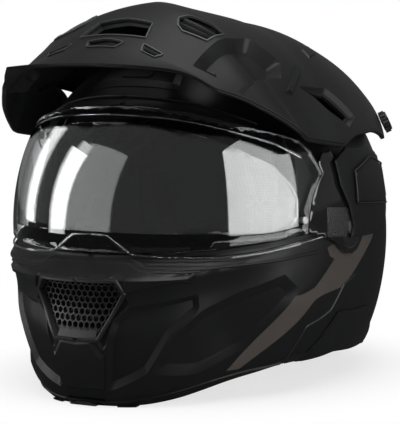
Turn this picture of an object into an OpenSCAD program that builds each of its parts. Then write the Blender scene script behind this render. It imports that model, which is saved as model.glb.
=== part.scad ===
// Modular motorcycle helmet with a peak, a flip-up chin bar, a face shield and an inner sun visor.
// The wearer faces -Y, +X is the wearer's left and +Z is up. Z = 0 is the surface the helmet rests on.
// Each shell follows one rounded form about the hinge axis, which runs along X: a point lies at an
// angle al round the axis (0 is straight ahead, 90 is up) and at t degrees out towards the axis's end.

/* [Shell] */
// Half the width of the shell at the hinge
shell_half_w = 118; // [114:1:122]
// Distance from the hinge axis to the forehead
brow_r = 132; // [129:1:135]
// Distance from the hinge axis to the rear of the crown
crown_r = 138; // [135:1:141]
// Distance from the hinge axis straight back
back_r = 160; // [156:1:166]
// Distance from the hinge axis to the nape
nape_r = 171; // [168:1:174]
// Roundness of the shell seen from the front, where 2 is an ellipse
roundness = 2.3; // [2.2:0.05:2.4]
// Height of the hinge axis
hinge_z = 112; // [111:0.5:113]
// Place of the hinge axis from front to rear
hinge_y = 0; // [-6:1:6]
// Thickness of the outer shell
shell_wall = 3.5; // [2.5:0.5:4]

/* [Chin bar] */
// Distance from the hinge axis to the middle of the chin vent
chin_r = 163; // [161:1:166]
// Distance from the hinge axis to the foot of the chin
chin_foot_r = 185; // [184:0.5:186]
// Thickness of the chin bar at its sides
chin_wall = 3; // [2:0.5:3]
// Half the width of the chin vent at its widest
vent_half_w = 35; // [30:1:38]

/* [Face shield] */
// Distance from the hinge axis to the outside of the face shield
shield_r = 141.5; // [141:0.5:143]
// Thickness of the face shield
shield_wall = 2.2; // [1.5:0.1:2.5]
// Thickness of the anti-fog insert
insert_wall = 1; // [0.6:0.1:1.2]
// Thickness of the sun visor
sun_wall = 2; // [1.4:0.1:2.4]

/* [Peak] */
// Height of the peak's cover over the shell
hood_gap = 14.3; // [14:0.1:16]
// Thickness of the peak
peak_wall = 2.8; // [2:0.1:3]
// Reach of the front edge of the peak beyond the forehead
peak_reach = 54; // [48:1:60]

/* [Hinge] */
// Radius of the hinge pin
pin_r = 5; // [4:0.5:6]
// Running clearance round the hinge pins
pin_fit = 0.05; // [0.02:0.01:0.1]
// Radius of the hole that the chin bar leaves for its hinge ring
ring_seat_r = 18; // [16:0.5:19]
// Radius of the sun visor's pin
sun_pin_r = 4; // [3:0.5:5]

/* [Lining] */
// Thickness of the shock liner
liner_wall = 21; // [18:1:24]
// Thickness of the crown pad
crown_pad_wall = 8; // [6:1:10]
// Thickness of the cheek pads
cheek_pad_wall = 20; // [16:1:24]
// Width of the chin strap
strap_w = 22; // [18:1:25]
// Thickness of the chin strap
strap_wall = 2; // [1.5:0.1:2.5]

/* [Hidden] */
fit = 0.4;               // gap between hard pieces that lie against each other
pad_fit = 2.1;           // gap behind the soft lining, which the facets of both sides share
low_r = nape_r - 8;
chin_half_w = shell_half_w + chin_wall + 1.6;
shield_half_w = chin_half_w + shield_wall + 1;
chin_t_wall = 4;
shell_tab = [[-90, low_r], [-60, low_r - 5], [-40, brow_r + 18], [-20, brow_r + 6], [-5, brow_r],
             [60, brow_r], [110, brow_r], [130, crown_r], [155, back_r - 10], [180, back_r],
             [200, back_r + 7], [220, nape_r], [245, nape_r - 3], [270, low_r]];
no_taper = [[-90, 0], [270, 0]];
chin_taper = [[-90, 0], [-56, 0], [-43, 0.12], [-33, 0.145], [-20, 0.115], [-10, 0.06], [-6, 0.035], [-3.7, 0], [270, 0]];
chin_tab = [[-90, low_r + 3], [-60, low_r - 2], [-50, low_r + 3], [-42, chin_foot_r - 7],
            [-36.4, chin_foot_r], [-30, chin_foot_r - 5], [-22, chin_r + 10], [-15, chin_r],
            [-12, chin_r - 2], [-8.3, chin_r - 3.4], [-7, chin_r - 11], [-5.6, chin_r - 20],
            [-3.7, chin_r - 24.5], [40, chin_r - 20], [180, chin_r], [270, low_r + 3]];

function slope(tab, k) =
    k <= 0 || k >= len(tab) - 1 ? 0 :
    let (a = (tab[k][1] - tab[k - 1][1]) / (tab[k][0] - tab[k - 1][0]),
         b = (tab[k + 1][1] - tab[k][1]) / (tab[k + 1][0] - tab[k][0]))
    a * b <= 0 ? 0 : 2 * a * b / (a + b);
// Smooth curve through a table's rows, level at its ends
function smooth(tab, v) =
    let (w = max(tab[0][0], min(tab[len(tab) - 1][0], v)),
         i = min(len(tab) - 2, max([for (k = [0:len(tab) - 1]) if (tab[k][0] <= w) k])),
         h = tab[i + 1][0] - tab[i][0], u = (w - tab[i][0]) / h,
         m0 = slope(tab, i) * h, m1 = slope(tab, i + 1) * h)
    (2 * pow(u, 3) - 3 * u * u + 1) * tab[i][1] + (pow(u, 3) - 2 * u * u + u) * m0
    + (3 * u * u - 2 * pow(u, 3)) * tab[i + 1][1] + (pow(u, 3) - u * u) * m1;
function turn(al) = al < -90 ? turn(al + 360) : al > 270 ? turn(al - 360) : al;
function mix(a, b, u) = a + (b - a) * u;
function unit(v) = v / norm(v);

// A skin is [table of radii, half width at the hinge, table of how far its front is drawn in]
function shell_skin(off) = [[for (p = shell_tab) [p[0], p[1] + off]], shell_half_w + off, no_taper];
function chin_skin(off, side_off) = [[for (p = chin_tab) [p[0], p[1] + off]], chin_half_w + side_off, chin_taper];
function drum_skin(r, half_w) = [[[-90, r], [270, r]], half_w, no_taper];
function inset(s, d) = [[for (q = s[0]) [q[0], q[1] - d]], s[1] - d, s[2]];
function skin_r(s, al) = smooth(s[0], turn(al));
// Share of its full width that a skin has at al and at distance r from the hinge axis
function width_at(s, al, r) = 1 - smooth(s[2], turn(al)) * smooth([[70, 0], [125, 1]], r);
// Point of a skin at al and t, on the side of +X or -X
function on_skin(s, al, t, side) =
    let (r = skin_r(s, al) * pow(max(0, cos(t)), 2 / roundness))
    [side * s[1] * pow(max(0, sin(t)), 2 / roundness) * width_at(s, al, r),
     hinge_y - r * cos(al), hinge_z + r * sin(al)];
// t of a skin's point at distance r from the hinge axis
function t_at(s, al, r) = acos(pow(min(1, r / skin_r(s, al)), roundness / 2));
// t of a skin's point near the middle, at distance x from it
function t_at_x(s, al, x) = asin(pow(min(1, x / s[1] / width_at(s, al, skin_r(s, al))), roundness / 2));
function polar(p) =
    let (a = atan2(p[2] - hinge_z, hinge_y - p[1]))
    [a, norm([p[1] - hinge_y, p[2] - hinge_z])];
// Point of a skin at height z and at phi degrees from straight ahead, seen from above
function beyond(s, phi, z, rho) =
    let (p = [rho * sin(phi), hinge_y - rho * cos(phi), z], q = polar(p))
    pow(abs(p[0]) / s[1] / width_at(s, q[0], q[1]), roundness) + pow(q[1] / skin_r(s, q[0]), roundness) > 1;
function level_rho(s, phi, z, lo, hi, k) =
    let (m = (lo + hi) / 2)
    k == 0 ? m : beyond(s, phi, z, m) ? level_rho(s, phi, z, lo, m, k - 1) : level_rho(s, phi, z, m, hi, k - 1);
function level(s, phi, z) =
    let (rho = level_rho(s, phi, z, 20, 240, 16)) [rho * sin(phi), hinge_y - rho * cos(phi), z];

// Closed sheet between two grids of points. Cells for which gone() holds are left out. Where joined(i)
// holds, the two middle columns of a row are one.
module slab(outer, inner, wrap = false, seam = -1, gone = function(i, j) false,
            joined = function(i) false) {
    nr = len(outer);
    nc = len(outer[0]);
    last = wrap ? nr - 1 : nr - 2;
    through = function(i) joined(i) && joined((i + 1) % nr);
    cell = function(i, j) i < 0 || i > last || j < 0 || j > nc - 2 || j == seam ? false : !gone(i, j);
    id = function(s, i, j) s * nr * nc + (i % nr) * nc + (j == seam + 1 && joined(i % nr) ? seam : j);
    before = function(i, j) j - 1 == seam && seam >= 0 ? through(i) && cell(i, seam - 1) : cell(i, j - 1);
    after = function(i, j) j + 1 == seam ? through(i) && cell(i, seam + 1) : cell(i, j + 1);
    below = function(i, j) cell(wrap ? (i + nr - 1) % nr : i - 1, j);
    above = function(i, j) cell(wrap ? (i + 1) % nr : i + 1, j);
    quad = function(p, q, r, s) [[p, q, r], [p, r, s]];
    wall = function(i, j, k, l) quad(id(0, k, l), id(0, i, j), id(1, i, j), id(1, k, l));
    mid = floor(nr / 2);
    outward = cross(outer[mid][2] - outer[mid][1], outer[(mid + 1) % nr][1] - outer[mid][1])
              * (outer[mid][1] - inner[mid][1]) > 0;
    faces = [
        for (i = [0:last], j = [0:nc - 2]) if (cell(i, j))
            for (f = concat(
                quad(id(0, i, j), id(0, i + 1, j), id(0, i + 1, j + 1), id(0, i, j + 1)),
                quad(id(1, i, j), id(1, i, j + 1), id(1, i + 1, j + 1), id(1, i + 1, j)),
                before(i, j) ? [] : wall(i, j, i + 1, j),
                after(i, j) ? [] : wall(i + 1, j + 1, i, j + 1),
                below(i, j) ? [] : wall(i, j + 1, i, j),
                above(i, j) ? [] : wall(i + 1, j, i + 1, j + 1))) f];
    polyhedron(points = concat([for (row = outer) each row], [for (row = inner) each row]),
               faces = outward ? faces : [for (f = faces) [f[2], f[1], f[0]]], convexity = 6);
}
// Grid of a two-sided fan: each row is [al at the edge, t at the edge, al at the hub, t at the hub, t of
// the first column or -1], and place(i, u, al, t, side) gives a point
function fan_t(row, k, cols) =
    row[4] < 0 ? mix(row[1], row[3], k / cols) :
    k == 0 ? row[1] : mix(row[4], row[3], (k - 1) / (cols - 1));
function fan_al(row, k, cols) =
    mix(row[0], row[2], row[4] < 0 ? k / cols : max(0, k - 1) / (cols - 1));
function fan_grid(rows, cols, place) =
    [for (i = [0:len(rows) - 1]) [for (j = [0:2 * cols + 1])
        let (k = j <= cols ? cols - j : j - cols - 1, u = k / cols, row = rows[i])
        place(i, u, fan_al(row, k, cols), fan_t(row, k, cols), j <= cols ? -1 : 1)]];
module fan(rows, cols, out, inn, wrap, gone = function(i, k) false) {
    slab(fan_grid(rows, cols, out), fan_grid(rows, cols, inn), wrap, cols,
         function(i, j) gone(i, j < cols ? cols - 1 - j : j - cols - 1),
         function(i) rows[i][1] == 0);
}
// One-sided patch: each row is [al, t from, t to]
function patch_grid(rows, cols, place) =
    [for (i = [0:len(rows) - 1]) [for (j = [0:cols])
        place(i, j / cols, rows[i][0], mix(rows[i][1], rows[i][2], j / cols))]];
// Bead along a path that lies on a skin; the section's points are [beyond the edge, out of the skin]
module bead(path, ups, section) {
    n = len(path) - 1;
    ring = function(i)
        let (t = unit(path[min(n, i + 1)] - path[max(0, i - 1)]), up = ups[i],
             b = unit(cross(t, up)), c = unit(cross(b, t)))
        [for (q = section) path[i] + q[0] * b + q[1] * c];
    m = len(section);
    polyhedron(points = [for (i = [0:n]) each ring(i)],
        faces = concat([[for (k = [m - 1:-1:0]) k]], [[for (k = [0:m - 1]) n * m + k]],
            [for (i = [0:n - 1], k = [0:m - 1]) for (f = [
                [i * m + k, i * m + (k + 1) % m, (i + 1) * m + (k + 1) % m],
                [i * m + k, (i + 1) * m + (k + 1) % m, (i + 1) * m + k]]) f]), convexity = 4);
}
module both_sides() {
    children();
    mirror([1, 0, 0]) children();
}
// Turned part whose axis is the hinge axis, from its outline of [radius, x]
module turned(outline) {
    translate([0, hinge_y, hinge_z]) rotate([0, 90, 0]) rotate_extrude($fn = 72) polygon(outline);
}
function washer(r0, r1, x0, x1) = [[r0, x0], [r1, x0], [r1, x1], [r0, x1]];

// Height of the lower rim at phi degrees from straight ahead
rim_tab = [[0, 3], [8, 3], [16, 5.5], [24, 9], [32, 13], [40, 16.5], [48, 19], [56, 20.5], [62, 21.5],
           [92, 23], [118, 20], [142, 12], [161, 4.5], [172, 3.4], [180, 3.4]];
function rim_z(phi) = smooth(rim_tab, abs(phi));

// Edge of the eye port on one side, from the brow to the foot of the shell: [al, r, al at the hub]
eye_edge = [[44.1, brow_r - 0.5, 109], [44.4, brow_r - 2.7, 108], [45, brow_r - 6.8, 106.5], [46, brow_r - 14, 105],
            [48, brow_r - 25, 100], [51, 94, 95], [54.5, 80, 90], [52, 68, 80], [42, 60, 66],
            [28, 57, 50], [12, 58, 32], [-4, 62, 14], [-18, 68, -4], [-30, 76, -20], [-40, 88, -33],
            [-47, 97, -43]];
brow_al = 44;
shell_foot_phi = [62, 70, 80, 92, 105, 118, 130, 142, 152, 161, 170, 176];
crown_rows = 16;
hub_t = function(s, r, al) t_at(s, al, r);
function back_al(q) = q[0] < 0 ? q[0] + 360 : q[0];
function rim_row(s, phi, z, hub_r) =
    let (q = polar(level(s, phi, z)), al = back_al(q))
    [al, t_at(s, al, q[1]), al, t_at(s, al, hub_r), -1];
nape_al = back_al(polar(level(shell_skin(0), 180, rim_z(180))));
shell_rows = let (s = shell_skin(0), hub = 9) concat(
    [for (phi = shell_foot_phi) rim_row(s, phi, rim_z(phi), hub)],
    [for (k = [0:crown_rows]) let (al = mix(nape_al, brow_al, k / crown_rows),
                                   h = mix(nape_al, 110, k / crown_rows))
        [al, 0, h, t_at(s, h, hub), -1]],
    [for (e = eye_edge) [e[0], t_at(s, e[0], e[1]), e[2], t_at(s, e[2], hub), -1]]);

module outer_shell() {
    color([0.10, 0.10, 0.11])
    fan(shell_rows, 8,
        function(i, u, al, t, side) on_skin(shell_skin(0), al, t, side),
        function(i, u, al, t, side) on_skin(shell_skin(-shell_wall), al, t, side), true);
}

// Shock liner, set back at the front where the sun visor slides up
liner_edge = [[48.2, brow_r - 5.7, 111], [48.6, brow_r - 8.5, 109], [49.2, brow_r - 14, 107.5], [50, brow_r - 22, 106],
              [53, 98, 101], [56.5, 86, 96], [58, 72, 88], [50, 59, 76], [36, 53, 62],
              [20, 51, 44], [4, 53, 26], [-12, 56, 8], [-26, 58, -10], [-38, 60, -26], [-52, 66, -42]];
liner_brow_al = 48;
liner_nape_z = 40;
function liner_back(al) = shell_wall + smooth([[-90, 1.3], [-20, 6], [100, 6], [125, 1.3], [270, 1.3]], turn(al));
liner_in = shell_wall + liner_wall + 1;
liner_nape_al = back_al(polar(level(shell_skin(-5), 180, liner_nape_z)));
liner_rows = let (s = shell_skin(-5), hub = 20) concat(
    [for (phi = [74, 84, 95, 106, 118, 130, 142, 153, 163, 172]) rim_row(s, phi, liner_nape_z, hub)],
    [for (k = [0:12]) let (al = mix(liner_nape_al, liner_brow_al, k / 12),
                           h = mix(liner_nape_al, 112, k / 12))
        [al, 0, h, t_at(s, h, hub), -1]],
    [for (e = liner_edge) [e[0], t_at(s, e[0], e[1]), e[2], t_at(s, e[2], hub), -1]]);

module shock_liner() {
    color([0.16, 0.16, 0.17])
    fan(liner_rows, 6,
        function(i, u, al, t, side) on_skin(shell_skin(-liner_back(al)), al, t, side),
        function(i, u, al, t, side) on_skin(shell_skin(-liner_in), al, t, side), true);
}

// Crown pad: five puffed channels that run from ear to ear
crown_pad_al = [56, 196];
crown_pad_n = 16;
module crown_pad() {
    s = shell_skin(-liner_in);
    rows = [for (k = [0:crown_pad_n]) let (al = mix(crown_pad_al[0], crown_pad_al[1], k / crown_pad_n))
        [al, 0, al, t_at(s, al, 46), -1]];
    puff = function(i, u)
        let (ends = min(1, 5 * (1 - u)) * min(1, 3 * min(i, crown_pad_n - i) / crown_pad_n))
        crown_pad_wall * (0.35 + 0.65 * ends * (0.55 + 0.45 * abs(sin(180 * i / 4))));
    color([0.08, 0.08, 0.09])
    fan(rows, 6,
        function(i, u, al, t, side) on_skin(shell_skin(-liner_in - pad_fit), al, t, side),
        function(i, u, al, t, side) on_skin(shell_skin(-liner_in - pad_fit - puff(i, u)), al, t, side), false);
}

// Cheek pad: crowned block below and in front of the ear
cheek_fit = 0.8;
module cheek_pad() {
    s = shell_skin(-liner_in);
    n = 10;
    m = 7;
    reach = [[-110, 62], [-90, 64], [-50, 66], [-25, 60], [0, 46]];
    rows = [for (k = [0:n]) let (al = mix(0, -110, k / n)) [al, t_at(s, al, 22), t_at(s, al, smooth(reach, al))]];
    crown = function(i, v) let (a = i / n, e = 4 * a * (1 - a), f = 4 * v * (1 - v))
        cheek_pad_wall * (0.3 + 0.7 * pow(e * f, 0.3));
    place = function(i, v, al, t, d) on_skin(shell_skin(-liner_in - cheek_fit - d), al, t, 1);
    color([0.08, 0.08, 0.09])
    slab(patch_grid(rows, m, function(i, v, al, t) place(i, v, al, t, crown(i, v))),
         patch_grid(rows, m, function(i, v, al, t) place(i, v, al, t, 0)));
}
module cheek_pad_left() { cheek_pad(); }
module cheek_pad_right() { mirror([1, 0, 0]) cheek_pad(); }

// Neck roll: padded ring round the nape, under the shock liner
neck_roll_z = [10, 38];
module neck_roll() {
    n = 18;
    m = 5;
    grid = function(d0, d1) [for (i = [0:n]) let (phi = mix(122, 238, i / n)) [for (j = [0:m])
        let (v = j / m, a = i / n, e = pow(4 * a * (1 - a), 0.4) * pow(4 * v * (1 - v), 0.35))
        level(shell_skin(-shell_wall - d0 - d1 * (0.25 + 0.75 * e)), phi,
              mix(max(neck_roll_z[0], rim_z(abs(180 - abs(phi - 180))) + 4), neck_roll_z[1], v))]];
    color([0.08, 0.08, 0.09]) slab(grid(pad_fit, 0), grid(pad_fit, 22));
}

gasket_end_al = 10;
function edge_point(row, side, off) = on_skin(shell_skin(off), row[0], row[1], side);
eye_rows = concat([[brow_al, 0]], [for (e = eye_edge) if (e[0] > gasket_end_al) [e[0], t_at(shell_skin(0), e[0], e[1])]]);
function eye_path(off) = concat(
    [for (k = [len(eye_rows) - 1:-1:1]) edge_point(eye_rows[k], -1, off)],
    [for (k = [0:len(eye_rows) - 1]) edge_point(eye_rows[k], 1, off)]);
module eyeport_gasket() {
    path = eye_path(0);
    up = eye_path(1);
    color([0.05, 0.05, 0.05])
    bead(path, [for (i = [0:len(path) - 1]) unit(up[i] - path[i])],
         [[0.5, -4.3], [3.4, -4.3], [4.2, -1.8], [3.4, 0.9], [0.5, 0.9]]);
}

foot_phis = [for (phi = [66:6:294]) phi];
function foot_path(s) = [for (phi = foot_phis) level(s, phi, rim_z(phi > 180 ? 360 - phi : phi))];
module base_trim() {
    path = foot_path(shell_skin(0));
    up = foot_path(shell_skin(1));
    color([0.04, 0.04, 0.04])
    bead(path, [for (i = [0:len(path) - 1]) unit(up[i] - path[i])],
         [[0.35, 0.9], [0.35, -4], [1.6, -4], [2.1, -3], [2.1, 0.2], [1.4, 0.9]]);
}
// Flat pads on which the helmet rests, at the nape and under the chin
pad_h = 1;
module rest_pad(s, phi0, phi1, d0, d1, z) {
    n = 8;
    flat = function(p) [p[0], p[1]];
    color([0.04, 0.04, 0.04])
    linear_extrude(height = pad_h)
        polygon(concat([for (k = [0:n]) flat(level(inset(s, d0), mix(phi0, phi1, k / n), z))],
                       [for (k = [n:-1:0]) flat(level(inset(s, d1), mix(phi0, phi1, k / n), z))]));
}
module rest_pads_rear() { rest_pad(shell_skin(0), 168, 192, 0, 3.5, 3.4); }
module rest_pads_front() { both_sides() rest_pad(chin_skin(0, 0), 9, 14, 0, 3.5, 3.4); }

// Peak: rows from the front edge to the nape, each [al and height at the middle, al, r and height at
// the side]. The last rows stand on the shell.
peak_rows = [
    [40.9, peak_reach, 40.6, 182, peak_reach + 5.5], [44.8, peak_reach - 3.8, 41.6, 173, peak_reach],
    [47.4, peak_reach - 6, 41.9, 166, peak_reach - 4], [50.8, peak_reach - 8.5, 42, 159, peak_reach - 8],
    [52.7, peak_reach - 9.4, 42, 155.4, peak_reach - 9.5], [60.1, peak_reach - 12.4, 43.7, 141, peak_reach - 14.7],
    [64.5, peak_reach - 14, 44.6, 131, peak_reach - 17.5], [69.4, peak_reach - 15.1, 46, 115, 33],
    [74, peak_reach - 19, 47.8, 98, 29],
    [79, peak_reach - 25, 48.5, 90, 26.5], [84.5, peak_reach - 31, 58.5, 74, 21],
    [91, 18, 71, 63.5, 16.5], [99, hood_gap, 84, 58.5, hood_gap], [107, hood_gap, 101, 64.5, hood_gap],
    [115, hood_gap, 118, 72.5, hood_gap], [123, hood_gap, 129, 82, hood_gap],
    [130.5, hood_gap, 139.5, 91, hood_gap], [132, hood_gap, 141, 92, hood_gap],
    [141, hood_gap, 145.5, 99, hood_gap - 2], [149, hood_gap - 2, 149, 118, hood_gap - 6]];
peak_seat_row = 17;
peak_cols = 9;
// Windows in the peak's ramp, as rows and columns of cells that are left out: a short one at the front, a
// wide one behind it, and one on each side between the ramp and the shoulder
function peak_gone(i, k) =
    (i == 2 && k == 0) || (i == 4 && k <= 1) || (i >= 6 && i <= 7 && k >= 2 && k <= 3) || (i == 8 && k == 3);
// Scoop in each shoulder, from one row to another, where its middle moves in towards the rear
scoop_depth = 7;
scoop_rows = [4.4, 10.8];
scoop_middle = [0.83, 0.5];
scoop_half = 0.2;
function scoop(i, u) =
    let (v = (i - scoop_rows[0]) / (scoop_rows[1] - scoop_rows[0]),
         across = 1 - pow((u - mix(scoop_middle[0], scoop_middle[1], v)) / scoop_half, 2))
    v <= 0 || v >= 1 || across <= 0 ? 0 : scoop_depth * min(1, 1.6 * across) * min(1, 3 * v, 3 * (1 - v));
module peak() {
    rows = [for (p = peak_rows) [p[0], 0, p[2], t_at(shell_skin(p[4]), p[2], p[3]), -1]];
    height = function(i, u) mix(peak_rows[i][1], peak_rows[i][4], u * u) - scoop(i, u);
    foot = function(i, u) i >= peak_seat_row ? 2.6 * fit : height(i, u) - peak_wall;
    color([0.12, 0.12, 0.13])
    fan(rows, peak_cols,
        function(i, u, al, t, side) on_skin(shell_skin(height(i, u)), al, t, side),
        function(i, u, al, t, side) on_skin(shell_skin(foot(i, u)), al, t, side), false,
        function(i, k) peak_gone(i, k));
}
// Knurled screws that hold the peak: one on the crown and one on each side
module on_normal(al, t, off, side) {
    p = on_skin(shell_skin(off), al, t, side);
    up = unit(on_skin(shell_skin(off + 1), al, t, side) - p);
    translate(p) rotate([0, acos(up[2]), atan2(up[1], up[0])]) children();
}
screw_r = 7;
screw_h = 5;
module peak_screw(al, t, off, side) {
    on_normal(al, t, off + 2 * fit, side) color([0.06, 0.06, 0.06]) {
        cylinder(r = screw_r, h = screw_h, $fn = 48);
        for (a = [0:45:315]) rotate(a) translate([screw_r, 0, 0]) cylinder(r = 1.2, h = screw_h - 1, $fn = 16);
    }
}
module peak_screws() {
    peak_screw(141, 0, hood_gap - 0.2, 1);
    for (side = [-1, 1]) peak_screw(143, 49, hood_gap - 0.6, side);
}

// Brow vent: low frame on the forehead with a slider that opens it
brow_vent_al = [51, 63];
module brow_vent_frame() {
    n = 6;
    rows = [for (k = [0:n]) let (al = mix(brow_vent_al[0], brow_vent_al[1], k / n))
        [al, 0, al, t_at_x(shell_skin(0), al, mix(36, 30, k / n)), -1]];
    top = function(i, u) (i == 0 || i == n || u > 0.99) ? 0.9 : 2.6;
    color([0.06, 0.06, 0.06])
    fan(rows, 6,
        function(i, u, al, t, side) on_skin(shell_skin(top(i, u)), al, t, side),
        function(i, u, al, t, side) on_skin(shell_skin(fit), al, t, side), false,
        function(i, k) i == 4 && k <= 3);
}
slider_al = 55.4;
module brow_vent_slider() {
    r = brow_r + 2.6 + 0.35;
    translate([0, hinge_y - r * cos(slider_al), hinge_z + r * sin(slider_al)])
        rotate([90 - slider_al, 0, 0]) color([0.09, 0.09, 0.10])
        linear_extrude(height = 1.4)
            polygon([[-11, -3.4], [11, -3.4], [13, -1.5], [13, 1.5], [11, 3.4], [-11, 3.4], [-13, 1.5], [-13, -1.5]]);
}

// Rear vent cover, behind the peak
module rear_vent_cover() {
    n = 6;
    rows = [for (k = [0:n]) let (al = mix(156, 178, k / n)) [al, 0, al, mix(34, 26, k / n), -1]];
    top = function(i, u) 1 + 6 * sqrt(max(0, 1 - pow(u, 4))) * sin(180 * (0.12 + 0.76 * i / n));
    color([0.07, 0.07, 0.07])
    fan(rows, 6,
        function(i, u, al, t, side) on_skin(shell_skin(top(i, u)), al, t, side),
        function(i, u, al, t, side) on_skin(shell_skin(fit), al, t, side), false,
        function(i, k) i == 4 && k >= 1 && k <= 3);
}

// Intercom cover: thin snap-in panel low on the side
module intercom_cover() {
    s = shell_skin(0);
    n = 6;
    rows = [for (k = [0:n]) let (al = mix(282, 236, k / n))
        [al, t_at(s, al, mix(58, 52, k / n)), t_at(s, al, smooth([[236, 84], [260, 82], [282, 84]], al))]];
    color([0.07, 0.07, 0.08])
    slab(patch_grid(rows, 4, function(i, v, al, t) on_skin(shell_skin(2), al, t, 1)),
         patch_grid(rows, 4, function(i, v, al, t) on_skin(shell_skin(fit), al, t, 1)));
}
module intercom_cover_left() { intercom_cover(); }
module intercom_cover_right() { mirror([1, 0, 0]) intercom_cover(); }

// Pivot shaft: stepped turned pin through the shell that carries all three moving shields
shell_in_x = shell_half_w - shell_wall;
ring_x = [chin_half_w - chin_wall, chin_half_w];
arm_x = [shield_half_w - shield_wall - 0.6, shield_half_w - 0.2];
cap_x = [arm_x[1] + 1, arm_x[1] + 2.8];
pin_end_x = cap_x[0] - 0.1;
sun_r = brow_r - shell_wall - 2;
sun_half_w = shell_in_x - 2;
module pivot_shaft() {
    color([0.55, 0.55, 0.57])
    turned([[0, sun_half_w - sun_wall - 2.5], [sun_pin_r, sun_half_w - sun_wall - 2.5], [sun_pin_r, sun_half_w + 0.4],
            [12, sun_half_w + 0.4], [12, shell_in_x - 0.6], [8.6, shell_in_x - 0.6], [8.6, shell_half_w + 0.4],
            [16.5, shell_half_w + 0.4], [16.5, ring_x[0] - 0.3], [pin_r, ring_x[0] - 0.3], [pin_r, pin_end_x],
            [0, pin_end_x]]);
}
module pivot_shaft_left() { pivot_shaft(); }
module pivot_shaft_right() { mirror([1, 0, 0]) pivot_shaft(); }
// Side cover over the hinge: a six-sided plate that comes down to the shell at its rear, between a front and a
// rear edge given as [height, y] from the hinge
cover_front = [[-7, -4], [0, 0], [16, -5], [31, -14], [48, -16], [56, 2]];
cover_rear = [[-7, 52], [4, 68], [28, 69], [42, 50], [56, 20]];
cover_fall = [[54, 0], [68, 1]];
cover_rows = [-7, 4, 16, 28, 42, 56];
function on_side(s, y, z) =
    let (q = polar([0, y, z])) [s[1] * pow(1 - pow(q[1] / skin_r(s, q[0]), roundness), 1 / roundness), y, z];
module pivot_cap() {
    n = 6;
    grid = function(s, low) [for (dz = cover_rows) [for (j = [0:n])
        let (y = mix(lookup(dz, cover_front), lookup(dz, cover_rear), j / n),
             p = on_side(s, hinge_y + y, hinge_z + dz), q = on_side(shell_skin(low), hinge_y + y, hinge_z + dz))
        mix(p, q, smooth(cover_fall, y))]];
    color([0.08, 0.08, 0.09])
    slab(grid(drum_skin(shield_r + 2.7, cap_x[1]), 2.4), grid(drum_skin(shield_r + 0.9, cap_x[0]), fit));
}
module pivot_cap_left() { pivot_cap(); }
module pivot_cap_right() { mirror([1, 0, 0]) pivot_cap(); }

// Chin strap: two bands that hang from rivets inside the shell and meet at a ratchet buckle
strap_y = hinge_y + 20;
anchor_x = shell_half_w - 20.5;
anchor_z = 32;
strap_line = [[anchor_x, anchor_z + 5], [anchor_x, anchor_z - 5], [anchor_x - 6.5, 22], [anchor_x - 17.5, 17], [62, 13], [38, 11]];
strap_short = [[anchor_x, anchor_z + 5], [anchor_x, anchor_z - 5], [anchor_x - 6.5, 22], [anchor_x - 17.5, 17], [62, 13],
               [30, 10], [0, 10], [-8, 10.4]];
function offset_line(line, d) =
    [for (i = [0:len(line) - 1])
        let (t = unit(line[min(len(line) - 1, i + 1)] - line[max(0, i - 1)])) line[i] + d * [-t[1], t[0]]];
function reversed(v) = [for (i = [len(v) - 1:-1:0]) v[i]];
module band(line, y, w, h) {
    translate([0, y + w, 0]) rotate([90, 0, 0]) linear_extrude(height = w)
        polygon(concat(offset_line(line, h / 2), reversed(offset_line(line, -h / 2))));
}
module strap_left() { color([0.05, 0.05, 0.05]) band(strap_line, strap_y, strap_w, strap_wall); }
module strap_right() {
    color([0.05, 0.05, 0.05]) mirror([1, 0, 0]) band(strap_short, strap_y, strap_w, strap_wall);
}
module strap_rivets() {
    both_sides() color([0.5, 0.5, 0.52])
        translate([anchor_x + strap_wall / 2 + 0.2, strap_y + strap_w / 2, anchor_z - 1]) rotate([0, 90, 0])
        cylinder(r = 4.5, h = 0.8, $fn = 48);
}
buckle_x = [9, 37];
buckle_z = 8.4;
module buckle_body() {
    color([0.07, 0.07, 0.07])
    translate([buckle_x[0], strap_y - 2, 0]) {
        translate([0, 0, 12.2]) cube([buckle_x[1] - buckle_x[0], strap_w + 4, 2]);
        for (y = [0, strap_w + 2.4]) translate([0, y, 7]) cube([buckle_x[1] - buckle_x[0], 1.6, 6]);
    }
}
lever_x = 33;
lever_z = 15.6;
module buckle_lever() {
    color([0.5, 0.05, 0.04])
    translate([0, strap_y + strap_w - 1, 0]) rotate([90, 0, 0]) linear_extrude(height = strap_w - 2)
        polygon([[lever_x, lever_z + 1.2], [lever_x - 20, lever_z + 0.8], [lever_x - 24, lever_z + 3], [lever_x - 24.5, lever_z + 1.8],
                 [lever_x - 21, lever_z - 0.9], [lever_x, lever_z - 1.2]]);
}

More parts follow.
